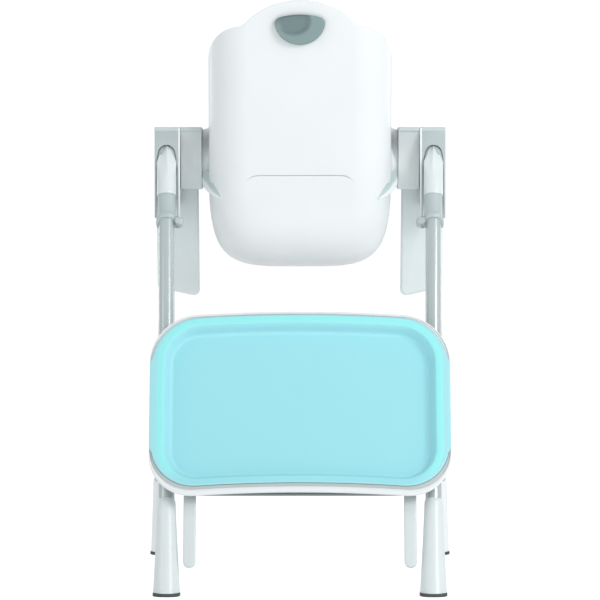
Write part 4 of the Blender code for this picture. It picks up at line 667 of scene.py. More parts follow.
def back_grid():
    """Round the wall's section at each station: up the outside, over the rim, down the inside and
    round the lower edge."""
    level = TUB_FLAT + TUB_ARC + WALL_RUN
    tip = level + ARM_TIP * np.sin(np.linspace(0, math.pi / 2, 24))[1:]
    s = np.concatenate([np.linspace(0, level, 110), tip])
    s = np.concatenate([-s[:0:-1], s])[None]
    x, y, _, _ = tub_section(s)
    low, high = seam_z(x, y), rim_z(s)
    edge = 0.0019 * np.clip((high - low) / 0.03, 0, 1)
    foot = edge * (0.30 - 0.27 * ease((abs(x) - 0.085) / 0.030))
    up = np.linspace(0, 1, 70)[:, None]
    arc = np.linspace(0, math.pi, 9)[1:-1, None]
    climb = low + foot + (high - low - edge - foot) * up
    over_rim, round_foot = high - edge + edge * np.sin(arc), low + foot - foot * np.sin(arc)
    z = np.concatenate([climb, over_rim, climb[::-1], round_foot])
    over = WALL / 2 * (1 - np.cos(arc))
    inset = np.concatenate([0 * up, over, 0 * up + WALL, over[::-1]])
    return back_point(s, z, inset)


def lever_outline():
    """The handle's half moon: a slightly arched top over a deep round bottom, with round corners made
    by taking each point part of the way to its neighbours, then stretched to its full size."""
    size = np.array([0.0475, 0.0285])
    t = np.linspace(-1, 1, 60)[:, None]
    upper = np.concatenate([t, 1 - 0.28 * t**2], axis=1)
    turn = np.linspace(0, math.pi, 120)[1:-1, None]
    lower = np.concatenate([np.cos(turn), 0.72 - 1.72 * np.sin(turn) ** 0.9], axis=1)
    loop = closer(np.concatenate([upper * size, lower * size]), 0.0010)
    for _ in range(120):
        loop = (np.roll(loop, 1, 0) + 2 * loop + np.roll(loop, -1, 0)) / 4
    low, high = loop.min(axis=0), loop.max(axis=0)
    share = (loop - low) / (high - low)
    return closer(np.array([-0.0475, 1.0162]) + share * (0.0950, 0.0568), 0.0010)


tub_white = moulded("tub_white", (0.83, 0.865, 0.875), 0.30)
back = skin("tub_back", back_grid(), tub_white, "seat", ["back_shell"], around=False, along=True)
hole = drawn_in(lever_outline(), 0.003)
x, z = hole[None, :, 0], hole[None, :, 1]
through = back_y(z) + np.array([-0.02, 0.02])[:, None]
carve(back, capped(together(x, through, z)))
for side, sign in SIDES:
    axes = np.stack([[0.0, 1.0, 0.0], [0.0, 0.0, 1.0], [sign, 0.0, 0.0]])
    flank = [(0.068, 0.1722), (0.0640, 0.1746), (0.0605, 0.1775), (0.0580, 0.1820), (0.0566, 0.1865)]
    end = [(0.0562, 0.1885), (0.0557, 0.1889), (0.0093, 0.1889), (0.0093, 0.1722), (0.068, 0.1722)]
    grid = lathe(np.concatenate([smooth_path(flank, 24), end]), AXLE, axes)
    behind = np.maximum(AXLE[1] - grid[..., 1], 0)
    grid[..., 1] -= 0.42 * behind * ease(behind / 0.05)
    skin(f"arm_hub_{side}", grid, tub_white, "seat", ["back_shell"])


def corner_lip(sign):
    """A scooped lip between two curves: its upper edge on the hub and the tub, its lower rim standing
    clear. Each section dips between them, turns round the rim and returns behind."""
    upper = [(0.1884, -0.004, 0.7760), (0.1830, -0.014, 0.7775), (0.1735, -0.032, 0.7712)]
    upper += [(0.1665, -0.0570, 0.7560), (0.1575, -0.0692, 0.7420), (0.1500, -0.0770, 0.7275)]
    lower = [(0.1882, -0.010, 0.7640), (0.1868, -0.030, 0.7530), (0.1812, -0.044, 0.7440)]
    lower += [(0.1740, -0.0540, 0.7372), (0.1640, -0.0670, 0.7310), (0.1500, -0.0790, 0.7255)]
    upper, lower = smooth_path(upper, 40)[:, None], smooth_path(lower, 40)[:, None]
    out = unit(np.array([0.62, -0.78, 0.0]))
    t = np.linspace(0, 1, 12)[None, :, None]
    dip = -0.0022 * np.sin(math.pi * t**0.8) * np.linspace(1, 0.2, 40)[:, None, None]
    face = upper + (lower - upper) * t + out * dip
    turn = np.linspace(0, math.pi, 7)[None, 1:-1, None]
    rim = lower + 0.0011 * ((np.cos(turn) - 1) * out + np.sin(turn) * np.array([0.3, -0.3, -0.9]))
    rear = upper + (lower - upper) * t[:, ::-1] - out * (0.0022 + 0.010 * np.sin(math.pi * t / 2))
    return capped(np.concatenate([face, rim, rear], axis=1)) * (sign, 1.0, 1.0)


def lip_coat():
    """The tub's white plastic, darker in the lip's hollow up to the rim in full tone: painted shade.
    """
    paint = Paint("lip_shade_white")
    across = paint.along(0, "UV")
    cloud = paint.noise(30.0, 3.0)
    # Painted shade in the hollow, up to the rim in full tone.
    colour = paint.mix(across.step(0.19, 0.29), (0.53, 0.63, 0.63), (0.86, 0.90, 0.905))
    return paint.coat(colour, 0.34 + 0.10 * cloud, cloud, 0.00004)


lip_shade_white = lip_coat()
for side, sign in SIDES:
    skin(f"tub_lip_{side}", corner_lip(sign), lip_shade_white, "seat", ["back_shell"])

# Seat bucket: a deep white bowl clipped under the back, necked in behind the back's lower edge,
# with two lugs in front for the leg rest.
BOWL_Y, BOWL_HALF = 0.060, 0.1565
BOWL_FLOOR, BOWL_RISE = 0.5905, 0.03
BOWL_POWER, NECK = 4.2, 0.0078


def bowl_plan(turn, deep):
    """Shares across and ahead: cosine and sine to a power, which falls near the top to the back's own
    corners. Also gives how near the top a depth is."""
    high = 1 - ease((deep - 0.25) / 0.45)
    power = 0.5 - 0.083 * high
    across = np.sign(np.cos(turn)) * abs(np.cos(turn)) ** power
    ahead = np.sign(np.sin(turn)) * abs(np.sin(turn)) ** power
    return across, ahead, high


def bowl_top(ahead):
    """The top edge, which dips in front."""
    return 0.792 - 0.137 * ease((BOWL_Y + BOWL_HALF * ahead - 0.100) / 0.1165)


def bowl_point(turn, fall, inset, neck=0.0):
    """In section the share out r and the depth d obey r^4.2 + d^4.2 = 1. Near the top the wall takes
    the back's lean, so that both are flush. The neck draws the wall in behind the back."""
    r = np.sin(fall) ** (2 / BOWL_POWER)
    deep = np.maximum(np.cos(fall), 0) ** (2 / BOWL_POWER)
    across, ahead, high = bowl_plan(turn, deep)
    top = bowl_top(ahead)
    y = BOWL_Y + (BOWL_HALF - inset) * ahead * r
    x = (TUB_HALF - 0.001 * (1 - high) - 0.0001 - inset) * across * r
    floor = BOWL_FLOOR + inset + BOWL_RISE * (y - BOWL_Y + BOWL_HALF)
    z = top - (top - floor) * deep
    corner = TUB_CORNER - inset
    lean = np.clip((abs(x) - TUB_FLAT) / corner, 0, 1)
    flush = back_y(z) + inset + corner * (1 - np.sqrt(1 - lean**2))
    y = y + (flush - y) * high * ease((-ahead - 0.10) / 0.15)
    size = np.hypot(across, ahead)
    return together(x - neck * across / size, y - neck * ahead / size, z)


turn = np.linspace(0, math.tau, 360, endpoint=False)[None] + 0.0001
across, ahead, _ = bowl_plan(turn, 0.0)
forward = BOWL_Y + BOWL_HALF * ahead - back_y(0.740)
seam = seam_z(TUB_HALF * across, forward) - 0.0005
seam += 0.0009 * ease((TUB_HALF * abs(across) - 0.085) / 0.030)
floor = BOWL_FLOOR + BOWL_RISE * BOWL_HALF * (1 + ahead)
meet = np.clip((bowl_top(ahead) - seam) / (bowl_top(ahead) - floor), 0.0, 1.0)
meet = np.minimum(np.arccos(meet ** (BOWL_POWER / 2)), math.pi / 2 - 0.002)
under = forward <= 0.254
below = meet * np.linspace(0.0005, 1, 80)[:, None]
above = meet + (math.pi / 2 - meet) * np.linspace(0, 1, 8)[:, None]
inside = np.linspace(math.pi / 2, 0.0005, 90)[:, None]
neck = NECK * under
outer = [bowl_point(turn, below, 0.0), bowl_point(turn, meet, 0.0, 0.0004 * under)]
outer += [bowl_point(turn, above, 0.0, neck)]
inner = bowl_point(turn, inside, WALL, neck * np.linspace(1, 0, 90)[:, None] ** 0.5)
grid = np.concatenate([*outer, inner])
grid[[0, -1]] = grid[[0, -1]].mean(axis=1, keepdims=True)
skin("tub_bucket", grid, tub_white, "seat", ["seat_bucket"])
for side, sign in SIDES:
    lug = [(0.2083, 0.619), (0.249, 0.619), (0.249, 0.643), (0.2083, 0.643)]
    radii, levels = (0.001, 0.010, 0.010, 0.001), (sign * 0.088, sign * 0.098)
    grid = slab(lug, radii, 0.0015, levels, 0.0015, axes=AHEAD)
    skin(f"legrest_lug_{side}", grid, tub_white, "seat", ["seat_bucket"])

# Recline handle: a half-moon paddle of dark grey plastic over the back's opening, scooped for the
# fingers. It turns on a white nylon pin and lifts a flat steel rod behind the cushion.


def lever_grid():
    """The outline drawn in ring by ring: a rolled edge, then a face that dips in a round scoop at its
    upper left and stands further out towards its lower edge. Behind it a stem fills the opening."""
    rim = lever_outline()
    quarter = np.linspace(0, math.pi / 2, 7)
    share = np.concatenate([[1.0], 1 - 0.09 * (1 - np.cos(quarter)), np.linspace(0.89, 0, 24)])
    middle = np.array([0.0, 1.045])
    face = middle + (rim - middle)[None] * share[:, None, None]
    roll = np.concatenate([[0.0], 0.0024 * (1 - np.sin(quarter)), np.zeros(24)])
    away = np.hypot((face[..., 0] + 0.013) / 0.037, (face[..., 1] - 1.060) / 0.031)
    scoop = 0.0050 * ease((1.0 - away) / 0.40) * ease((1 - share[:, None]) / 0.12)
    low = ease((1.050 - face[..., 1]) / 0.030)
    front = -0.0085 - 0.0060 * ease((1.064 - face[..., 1]) / 0.040)
    front += roll[:, None] * (1 + 1.4 * low) + scoop
    stem = drawn_in(rim, 0.006)
    behind = np.stack([rim, stem, stem, drawn_in(stem, 0.001), np.broadcast_to(middle, rim.shape)])
    levels = np.array([-0.0040, -0.0040, 0.0045, 0.0055, 0.0055])[:, None]
    rear = np.broadcast_to(levels, behind.shape[:2])
    face = np.concatenate([face[:0:-1], behind])
    depth = np.concatenate([front[:0:-1], rear])
    return together(face[..., 0], back_y(face[..., 1]) + depth, face[..., 1])


def handle_coat():
    """Grey plastic with a fine stipple; in the scoop it is darker, painted shade, and glossier."""
    paint = Paint("handle_grey")
    across, up = paint.along(0) + 0.013, paint.along(2) - 1.061
    away = across * across * 680.0 + up * up * 1100.0
    cloud = paint.noise(30.0, 3.0)
    grain = paint.noise(1500.0, 2.0)
    # The darker tone in the scoop is painted shade; the lower roughness there makes it glossier.
    scoop_shade_and_gloss = 1 - away.step(0.55, 0.95)
    colour = paint.mix(scoop_shade_and_gloss, (0.235, 0.325, 0.325), (0.165, 0.232, 0.236))
    return paint.coat(colour, 0.46 + 0.10 * cloud - 0.10 * scoop_shade_and_gloss, grain, 0.00006)


skin("handle", lever_grid(), handle_coat(), "handle", ["recline_lever"])
keep(["lever_pin"], tub_white)
keep(["recline_rod"], steel)

# Back cushion: a quilted foam pad in aqua cloth that lines the tub from its rim to the seat. It is
# sewn along its border and across the middle, and stuffed, so it swells between the seams.
PAD_HALF, PAD_LOW, PAD_SEAM, CHANNEL = TUB_FLAT + TUB_ARC * 0.62, 0.659, 0.845, 0.042


def crown(a, b):
    """Full in the middle and drawn in at the border, with a and b from -1 to 1."""
    return np.sqrt(np.maximum(1 - abs(a) ** 5, 0)) * np.sqrt(np.maximum(1 - abs(b) ** 7, 0))


def back_pad(a, b, over, fill):
    """From the pad's own shares to a place: up the back between the seat and the rim, in a narrower
    band inside the bucket, at a share of the pad's thickness."""
    high = rim_z(PAD_HALF * a) - 0.058
    z = PAD_LOW + (high - PAD_LOW) * (b + 1) / 2
    inside = 1 - ease((z - 0.802) / 0.040)
    s = PAD_HALF * a * (1 - 0.30 * inside)
    under = WALL + 0.0014 + (0.0135 + 0.014 * abs(a) ** 3) * inside
    under = under + 0.0042 * ease((0.085 - abs(s)) / 0.006) * ease((z - 0.800) / 0.02)
    thick = 0.004 + 0.020 * fill * crown(a, b)
    thick = thick - 0.004 * np.exp(-(((z - PAD_SEAM) / 0.007) ** 2)) * crown(a, b)
    return back_point(s, z, under + thick * over)


def cloth_coat():
    """Woven polyester: crossing threads in the bump, slubs in the tone and a soft sheen."""
    paint = Paint("pad_cloth")
    weave = paint.wave("X", 420.0) * paint.wave("Z", 420.0)
    slub = paint.noise(160.0, 3.0, (1.0, 1.0, 12.0))
    cloud = paint.noise(18.0, 3.0)
    tone = 0.45 * weave + 0.3 * slub + 0.25 * cloud
    colour = paint.mix(tone, (0.25, 0.56, 0.61), (0.44, 0.76, 0.80))
    sheen = {"Sheen_Weight": 0.25, "Sheen_Roughness": 0.5}
    return paint.coat(colour, 0.80 + 0.12 * slub, weave + 0.6 * slub, 0.0003, **sheen)


def points_of(mesh):
    flat = np.empty(len(mesh.vertices) * 3)
    mesh.vertices.foreach_get("co", flat)
    return flat.reshape(-1, 3)


def stuffed(mesh, cap):
    """Swells a closed mesh like a stuffed pad: remeshed, inflated as cloth without gravity, and held
    so that no point moves further than the cap."""
    pad = placed("pad", mesh)
    remesh = pad.modifiers.new("even", "REMESH")
    remesh.mode = "VOXEL"
    remesh.voxel_size = 0.005
    even = baked(pad)
    pad.data = even
    start = points_of(even)
    cloth = pad.modifiers.new("swell", "CLOTH")
    cloth.settings.use_pressure = True
    cloth.settings.uniform_pressure_force = 4.0
    cloth.settings.effector_weights.gravity = 0.0
    cloth.settings.quality = 5
    for step in range(1, 21):
        bpy.context.scene.frame_set(step)
    move = points_of(baked(pad)) - start
    size = np.linalg.norm(move, axis=1, keepdims=True)
    move = move * np.minimum(1.0, cap / np.maximum(size, 1e-9))
    even.vertices.foreach_set("co", (start + move).reshape(-1))
    bpy.context.scene.frame_set(1)
    bpy.data.objects.remove(pad)
    return even


def closed(under, over):
    """A closed mesh between two grids that share a border."""
    rows = np.concatenate([under, over[:, ::-1]], axis=1)
    here = np.arange(rows.shape[0] * rows.shape[1]).reshape(rows.shape[:2])
    ahead = np.roll(here, -1, axis=1)
    faces = together(here[:-1], ahead[:-1], ahead[1:], here[1:]).reshape(-1, 4).tolist()
    faces += [here[0].tolist(), here[-1, ::-1].tolist()]
    mesh = bpy.data.meshes.new("closed")
    mesh.from_pydata(rows.reshape(-1, 3).tolist(), [], faces)
    joined(mesh, slivers=False)
    return mesh


def sewn(name, mesh, depth, material, nodes):
    """Makes a swollen mesh a padded piece, with its vertices drawn in along their normals by a depth
    given for each place, and one subdivision."""
    places = points_of(mesh)
    normals = np.empty(places.size)
    mesh.vertex_normals.foreach_get("vector", normals)
    drawn = places - normals.reshape(-1, 3) * depth(places)[:, None]
    mesh.vertices.foreach_set("co", drawn.reshape(-1))
    made = piece(name, mesh, material, "seat", nodes, 180.0)
    smooth = made.modifiers.new("soft", "SUBSURF")
    smooth.levels = 1
    smooth.render_levels = 1
    return made


def back_seams(p):
    """Upright channels every 42 mm and one level seam, on the face that looks forward."""
    facing = ease((p[:, 1] - back_y(p[:, 2]) - 0.016) / 0.006)
    off = ((p[:, 0] / CHANNEL) % 1.0 - 0.5) * CHANNEL
    upright = np.exp(-((off / 0.0035) ** 2)) * (abs(p[:, 0]) < 0.118)
    level = np.exp(-(((p[:, 2] - PAD_SEAM) / 0.0045) ** 2))
    return 0.0030 * np.maximum(upright, level) * facing


pad_cloth = cloth_coat()
share = np.sin(np.linspace(-1, 1, 61) * math.pi / 2)
a, b = share[None], share[:, None]
core = closed(back_pad(a, b, 0.06, 0.80), back_pad(a, b, 1.0, 0.80))
sewn("pad_back", stuffed(core, 0.006), back_seams, pad_cloth, ["back_cushion"])

# Seat cushion: a thick pad of the same cloth in the bottom of the bucket, sewn along its border
# and in two channels, and slightly dished.


def seat_pad(share, turn, over, fill):
    """Rings of the bowl's own plan: its floor, and above it a crowned top that rises in front."""
    r = 0.90 * share
    fall = np.arcsin(np.clip(r, 0, 1) ** (BOWL_POWER / 2))
    low = bowl_point(turn, fall, WALL + 0.0012)
    room = np.maximum(0.637 + 0.03 * (low[..., 1] - BOWL_Y) - low[..., 2] - 0.006, 0)
    thick = 0.004 + fill * (room * np.sqrt(np.maximum(1 - share**8, 0)) + 0.008 * (1 - share**4))
    return low + together(0 * thick, 0 * thick, thick * over)


def seat_seams(p):
    """Two lengthwise channels and one across, on the upper face."""
    facing = ease((p[:, 2] - 0.619) / 0.010)
    length = np.exp(-(((abs(p[:, 0]) - 0.062) / 0.004) ** 2))
    across = np.exp(-(((p[:, 1] - 0.020) / 0.004) ** 2))
    return 0.0028 * np.maximum(length, across) * facing


share = np.sin(np.linspace(0.002, math.pi / 2, 40))[:, None]
turn = np.linspace(0, math.tau, 120, endpoint=False)[None] + 0.0001
grid = np.concatenate([seat_pad(share, turn, 0.0, 0.9), seat_pad(share, turn, 1.0, 0.9)[::-1]])
grid[[0, -1]] = grid[[0, -1]].mean(axis=1, keepdims=True)
blank = skin("seat_blank", grid, pad_cloth, "seat")
core = blank.data
core.materials.clear()
bpy.data.objects.remove(blank)
sewn("pad_seat", stuffed(core, 0.005), seat_seams, pad_cloth, ["seat_cushion"])

# Harness: five lengths of grey polyester webbing that meet in a plastic buckle with an aqua push
# button. The shoulder straps lie on the back cushion and the waist straps come from the bucket.
BUCKLE = np.array([0.0, 0.085, 0.667])
STRAP_ROWS = 90


def webbing_coat():
    """Woven webbing: fine ribs across its length, and lint."""
    paint = Paint("webbing")
    rib = paint.along(1, "UV") * 900.0
    rib = rib.math("SINE", rib)
    lint = paint.noise(700.0, 3.0)
    colour = paint.mix(0.5 * lint + 0.25 * (rib + 1.0), (0.17, 0.21, 0.22), (0.31, 0.36, 0.37))
    return paint.coat(colour, 0.78 + 0.12 * lint, 0.5 * rib + 0.5 * lint, 0.00025, Sheen_Weight=0.2)


def band(name, path, up, width, nodes):
    """A flat band of webbing along a path: a thin section with full round edges."""
    ring = circle(1.0, 24)
    section = np.sign(ring) * abs(ring) ** np.array([0.35, 0.6]) * (width / 2, 0.0008)
    path = smooth_path(path, STRAP_ROWS)
    grid = capped(sweep(path, unit(np.gradient(path, axis=0)), section, up))
    return skin(name, grid, webbing, "seat", nodes)


def pad_front(x, z):
    """The back cushion's front at a place, found by halving the pad's height share."""
    low, high = -0.98 * np.ones_like(z), 0.98 * np.ones_like(z)
    share = x / PAD_HALF
    for _ in range(30):
        middle = (low + high) / 2
        below = back_pad(share, middle, 1.0, 1.0)[..., 2] < z
        low, high = np.where(below, middle, low), np.where(below, high, middle)
    return back_pad(share, middle, 1.0, 1.0)


webbing = webbing_coat()
for side, sign in SIDES:
    z = np.linspace(0.952, 0.697, 14)
    hung = pad_front(sign * 0.048, z)
    hung[:, 1] += np.where(z > 0.951, 0.0016, 0.0034)
    meet = BUCKLE + (sign * 0.012, -0.0253, 0.0)
    t = np.array([0.25, 0.5, 0.75, 1.0])[:, None]
    free = hung[-1] + (meet - hung[-1]) * t - (0, 0, 0.072) * t * (1 - t)
    path = np.concatenate([hung, free])
    out = np.cross((1, 0, 0), np.gradient(smooth_path(path, STRAP_ROWS), axis=0))
    band(f"strap_shoulder_{side}", path, out, 0.020, [f"shoulder_strap_{side}"])
    anchor = np.array([sign * 0.1612, 0.020, 0.673])
    clip = BUCKLE + (sign * 0.0233, 0.006, 0.0)
    t = np.linspace(0, 1, 6)[:, None]
    belt = anchor + (clip - anchor) * t - (0, 0, 0.016) * t * (1 - t)
    band(f"strap_waist_{side}", belt, (0, 0, 1), 0.025, [f"waist_strap_{side}"])
path = BUCKLE + np.array([(0, 0.0253, 0), (0, 0.040, -0.004), (0, 0.055, -0.012)])
band("strap_crotch", path, (0, 0, 1), 0.025, ["crotch_strap"])
buckle_grey = moulded("buckle_grey", (0.20, 0.26, 0.27), 0.38, 0.00006)
keep(["buckle"], buckle_grey)
aqua_gloss = moulded("aqua_gloss", (0.345, 0.755, 0.82), 0.26)
turn = np.linspace(math.pi / 2, 0.25, 10)
cap = together(0.009 * np.cos(turn), 0.6745 + 0.001 * np.sin(turn))
press = np.concatenate([cap, [(0.0090, 0.6735), (0.0090, 0.6682), (0.0, 0.6680)]])
grid = lathe(press, BUCKLE * (1, 1, 0))
skin("buckle_press", grid, aqua_gloss, "buckle_release", ["buckle_button"])

# Leg rest: a white moulded panel with rounded edges on a steel pin between the bucket's lugs, and
# a foot ledge screwed to its front.
keep(["legrest_pin"], steel)
board = [(-0.100, 0.253), (0.100, 0.253), (0.090, 0.364), (-0.090, 0.364)]
grid = slab(board, (0.008, 0.008, 0.025, 0.025), 0.003, (0.626, 0.636), 0.0035)
skin("legrest_board", grid, tub_white, "legrest", ["legrest_panel"])
root = [(-0.07, 0.238), (0.07, 0.238), (0.07, 0.262), (-0.07, 0.262)]
grid = slab(root, (0.001,) * 4, 0.003, (0.6265, 0.6355), 0.001)
skin("legrest_root", grid, tub_white, "legrest", ["legrest_panel"])
barrel = [(0.0043, -0.0874), (0.0080, -0.0874), (0.0085, -0.0869)]
barrel += [(0.0085, 0.0869), (0.0080, 0.0874), (0.0043, 0.0874), (0.0043, -0.0874)]
grid = lathe(barrel, (0.0, 0.238, 0.631), AHEAD)
skin("legrest_barrel", grid, tub_white, "legrest", ["legrest_panel"])
keep(["foot_ledge"], tub_white)

# Tray base: a white moulded rim with an arched outline, hung on the rear legs, over an underside
# with a shallow pocket for the insert, dark grey as painted shade. A bead and a groove run round the
# pocket.
TRAY_HALF, TRAY_TOP, TRAY_LOW, TRAY_CORNER, TRAY_BOW = 0.280, -0.340, -0.694, 0.085, 0.014
SIDE_IN, TOP_IN, LOW_IN, ROUNDER = 0.004, 0.0072, 0.0175, 0.006


def tray_outline(side_in, top_in, low_in, straight=0.0, rounder=0.0):
    """An oblong with 85 mm corners, drawn in by a margin on each side, then bent down towards both
    sides by 14 mm times the square of the share out. A straight share keeps its lower edge level, and
    rounder adds to the corners."""
    half, top, low = TRAY_HALF - side_in, TRAY_TOP - top_in, TRAY_LOW + low_in
    corner = max(TRAY_CORNER + rounder - (side_in + top_in) / 2, 0.02)
    square = np.array([(half, top), (-half, top), (-half, low), (half, low)])
    arc = np.linspace(0, math.pi / 2, 28)
    quarter = np.arange(4)[:, None] * math.pi / 2 + arc[None]
    centre = square - np.array([(1, 1), (-1, 1), (-1, -1), (1, -1)]) * corner
    bend = centre[:, None] + corner * round_at(quarter)
    after = np.roll(bend[:, 0], -1, axis=0)
    t = np.linspace(0, 1, 38)[None, 1:-1, None]
    run = bend[:, -1:] + (after[:, None] - bend[:, -1:]) * t
    ring = np.concatenate([bend, run], axis=1).reshape(-1, 2)
    bow = 1 - straight * ease((-0.45 - ring[:, 1]) / 0.12)
    ring[:, 1] -= TRAY_BOW * bow * (ring[:, 0] / TRAY_HALF) ** 2
    return ring


def tray_rings(steps):
    """One ring of the outline for each step of level and margins, closed on the middle at both ends,
    in the tray's own axes along the rear legs."""
    rings = np.stack([tray_outline(*step[1:]) for step in steps])
    levels = np.array([step[0] for step in steps])[:, None, None]
    middle = np.broadcast_to([0.0, (TRAY_TOP + TRAY_LOW) / 2], (1, *rings.shape[1:]))
    rings = np.concatenate([middle, rings, middle])
    levels = np.concatenate([levels[:1], levels, levels[-1:]])
    return np.concatenate([rings, np.broadcast_to(levels, (*rings.shape[:2], 1))], axis=-1)


def even(m, level):
    """A step with the same margin all round."""
    return (level, m, m, m)


def lip(m, level):
    """A step on the insert's own margins."""
    return (level, SIDE_IN + m, TOP_IN + m, LOW_IN + m, 0.0, ROUNDER)


def belly(m, level):
    """A step of the underside, a little inside the rim, with a level lower edge."""
    return (level, 0.006 + m, 0.006 + m, m - 0.0010, 1.0)


def crest(a):
    """A step of the rim's bead: half a turn from its outer edge to the groove round the insert."""
    share = (1 - math.cos(a)) / 2
    return (0.0455 + 0.0035 * math.sin(a), share * 0.0018, share * 0.0046, share * 0.0122)


def rim_coat():
    """The tray's white plastic, darker in the lower part of the groove round the insert: painted
    shade."""
    paint = Paint("rim_white")
    across = paint.along(1, "UV")
    cloud = paint.noise(7.0, 3.0)
    height = paint.along(2)
    # Painted shade in the lower part of the groove.
    painted_shade = across.step(0.65, 0.80) * (1.0 - height.step(0.24, 0.34))
    colour = paint.mix(painted_shade, (0.83, 0.855, 0.865), (0.43, 0.485, 0.48))
    return paint.coat(colour, 0.30 + 0.10 * cloud, cloud, 0.00004, Coat_Weight=0.12)


turn = np.linspace(0, math.pi / 2, 9)
rim = [lip(0.0125, 0.0405), even(0.004, 0.040)]
rim += [even(0.003 * (1 - math.sin(a)), 0.0445 - 0.003 * math.cos(a)) for a in turn]
rim += [crest(2 * a) for a in turn]
rim += [lip(-0.0008, 0.0494), lip(0.0006, 0.0475), lip(0.0028, 0.0470)]
rim += [lip(0.0034, 0.0487), lip(0.0120, 0.0489), lip(0.0125, 0.0415)]
tray_white = moulded("tray_white", (0.79, 0.82, 0.83), 0.30)
grid = PIVOT + tray_rings(rim)[1:-1] @ TRAY_AXES
skin("tray_rim", grid, rim_coat(), "tray", ["tray_base"], along=True)
# The underside's dark grey stands for the shade under the tray: painted shade.
belly_shade_grey = moulded("belly_shade_grey", (0.115, 0.155, 0.158), 0.42, 0.00006)
under = [belly(0.040, 0.023), belly(0.004, 0.023)]
under += [belly(0.004 * (1 - math.sin(a)), 0.027 - 0.004 * math.cos(a)) for a in turn]
inner = [belly(0.0, 0.0398), belly(0.010, 0.0398), lip(0.0125, 0.0398)]
inner += [lip(0.0125, 0.0275), lip(0.013, 0.027), lip(0.06, 0.027)]
grid = PIVOT + tray_rings(under + inner) @ TRAY_AXES
skin("tray_belly", grid, belly_shade_grey, "tray", ["tray_base"])

# Tray insert: a thin dish formed from one sheet of aqua plastic, with a raised roll round its floor
# and a tab on each side to lift it out.


def dish_coat():
    """Thin aqua sheet with slow clouds and faint scuffs, toned by the share of the way out that the
    chart
    gives: paler than the floor from the wall out, the roll round the rim a brighter aqua, a painted
    highlight, but darker along the tray's lower edge, painted shade, and the border paler again."""
    paint = Paint("dish_aqua_painted_light")
    way = paint.along(1, "UV")
    cloud = paint.noise(5.0, 3.0)
    scuff = paint.noise(5.0, 4.0, (4.0, 30.0, 30.0)).step(0.60, 0.76)
    grain = paint.noise(1400.0, 2.0)
    colour = paint.mix(cloud, (0.335, 0.745, 0.815), (0.350, 0.765, 0.830))
    colour = paint.mix(way.step(0.060, 0.110), colour, (0.385, 0.785, 0.850))
    upper = paint.along(2).step(0.195, 0.235)
    # The brighter aqua on the roll above the tray's lower edge is a painted highlight.
    colour = paint.mix(way.step(0.285, 0.300) * upper, colour, (0.315, 0.860, 0.865))
    # The darker aqua on the roll along the tray's lower edge is painted shade.
    colour = paint.mix(way.step(0.200, 0.260) * (1 - upper), colour, (0.310, 0.705, 0.775))
    colour = paint.mix(way.step(0.405, 0.420), colour, (0.380, 0.765, 0.825))
    return paint.coat(colour, 0.50 + 0.10 * cloud + 0.10 * scuff, grain, 0.00003)


def dish(m, level):
    """A step of the insert, with a wider border at the sides, where the tabs are."""
    wider = 0.0065 * float(ease(m / 0.003))
    return (level, SIDE_IN + m + wider, TOP_IN + m, LOW_IN + 0.8 * m, 0.0, ROUNDER)


SHEET, TAB = 0.0020, 0.0040
shape = [(0.0, 0.0500), (0.0008, 0.0512), (0.003, 0.0518), (0.008, 0.0523), (0.0135, 0.0521)]
shape += [(0.0165, 0.0513), (0.0195, 0.0475), (0.0225, 0.0420), (0.0258, 0.0342), (0.0285, 0.0310)]
shape += [(0.0325, 0.0297), (0.040, 0.0295), (0.072, 0.0295)]
upper = smooth_path(shape, 60)
slope = unit(np.gradient(upper, axis=0))
lower = upper - SHEET * together(-slope[:, 1], slope[:, 0])
steps = [dish(m, level) for m, level in np.concatenate([upper[::-1], lower])]
rings = tray_rings(steps)
reach = ease((rings[..., 1] + 0.618) / 0.008) * ease((-0.431 - rings[..., 1]) / 0.008)
out = np.sign(rings[..., 0]) * ease((abs(rings[..., 0]) - 0.2680) / 0.008)
rings[..., 0] += TAB * reach * out
grid = PIVOT + rings @ TRAY_AXES
skin("insert_dish", grid, dish_coat(), "insert", ["tray_insert"])

# Tray arms, hooks and release: white bars that slide into the carriages when the tray is in use,
# two hooks that hang it on the rear cross tube, and a grey release paddle underneath.
ARM_WIDTH = 0.0232
# The arms' white is dimmed towards their top, under the tray: painted shade.
arm_white = moulded("arm_white", (0.70, 0.755, 0.76), 0.32, shade_by_height=(0.19, 0.13, 0.80))
for side, sign in SIDES:
    low, high = sign * 0.2039 - ARM_WIDTH / 2, sign * 0.2039 + ARM_WIDTH / 2
    bar = [(low, -0.830), (high, -0.830), (high, -0.560), (low, -0.560)]
    radii, levels = (0.0112, 0.0112, 0.004, 0.004), (0.0107, 0.0227)
    grid = slab(bar, radii, 0.002, levels, 0.0028, PIVOT, TRAY_AXES)
    skin(f"arm_{side}", grid, arm_white, "tray", [f"tray_arm_{side}"])
keep(["tray_hook_left", "tray_hook_right"], tray_white)
keep(["tray_release"], button_grey)

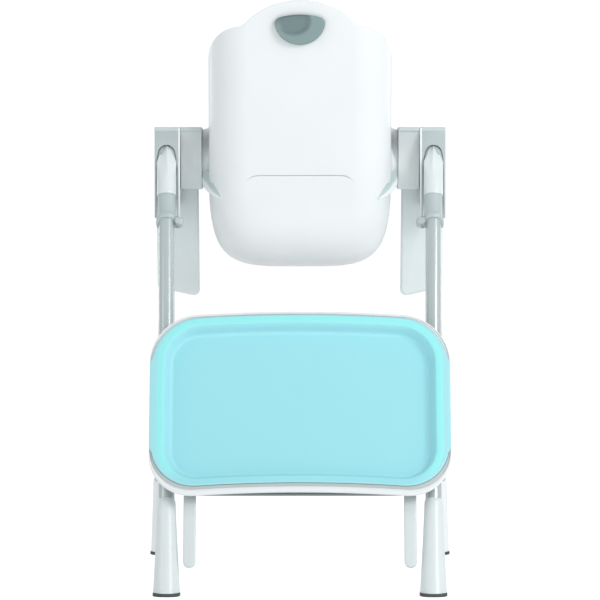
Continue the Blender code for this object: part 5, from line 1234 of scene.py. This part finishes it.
# Stage: a plain pale floor that glows a little, a soft key from the right, weak fills from the left
# and from the camera's side, and two strips beyond, with a long lens level with the seat's back.
scene = bpy.context.scene
scene.view_settings.view_transform = "Standard"
ground = bpy.data.meshes.new("floor")
corners = [(-400, -400, 0), (400, -400, 0), (400, 400, 0), (-400, 400, 0)]
ground.from_pydata(corners, [], [(0, 1, 2, 3)])
floor_paint = Paint("floor")
cloud = floor_paint.noise(0.6, 2.0)
seen = floor_paint.node("LightPath", output="Is Camera Ray")
pale = floor_paint.mix(cloud, (0.80, 0.81, 0.815), (0.84, 0.845, 0.85))
floor_paint.coat(pale, 0.7 + 0.1 * cloud, cloud, 0.0001, Emission_Strength=0.55)
shine = floor_paint.mix(seen, (0.4, 0.4, 0.4), (1, 1, 1))
floor_paint.feed(floor_paint.shader.inputs["Emission Color"], shine)
ground.materials.append(floor_paint.material)
floor = placed("floor", ground)
world = bpy.data.worlds.new("studio")
world.use_nodes = True
scene.world = world
tree = world.node_tree
glow = tree.nodes["Background"]
glow.inputs["Color"].default_value = (0.97, 0.99, 1.0, 1.0)
path = tree.nodes.new("ShaderNodeLightPath")
strength = tree.nodes.new("ShaderNodeMapRange")
strength.inputs["To Min"].default_value = 0.58
strength.inputs["To Max"].default_value = 1.05
tree.links.new(path.outputs["Is Camera Ray"], strength.inputs["Value"])
tree.links.new(strength.outputs["Result"], glow.inputs["Strength"])


def softbox(name, place, aim, width, height, power):
    """A rectangular soft light at a place, turned to face a point."""
    light = bpy.data.lights.new(name, "AREA")
    light.shape = "RECTANGLE"
    light.size, light.size_y = width, height
    light.energy = power
    back = unit(np.array(place, float) - np.array(aim, float))
    side = unit(np.cross((0.0, 0.0, 1.0), back))
    stand = np.eye(4)
    stand[:, :3] = [side, np.cross(back, side), back, place]
    placed(name, light).matrix_world = stand


softbox("key", (2.4, -2.5, 2.1), (0, -0.1, 0.6), 1.4, 1.4, 54.0)
softbox("fill", (-2.4, -1.6, 1.3), (0, 0, 0.6), 1.2, 1.6, 8.0)
softbox("front", (0.0, -5.6, 0.7), (0, 0, 0.6), 2.4, 1.6, 12.0)
softbox("strip_left", (-1.4, 1.4, 1.2), (0, 0, 0.7), 0.4, 1.6, 4.0)
softbox("strip_right", (1.4, 1.4, 1.2), (0, 0, 0.7), 0.4, 1.6, 4.0)
lens = bpy.data.cameras.new("camera")
lens.lens = 224.6
lens.sensor_width = 36.0
camera = placed("camera", lens)
camera.location = (0.0, -7.215, 0.818)
camera.rotation_euler = (math.radians(90 - 2.29), 0.0, 0.0)
scene.camera = camera
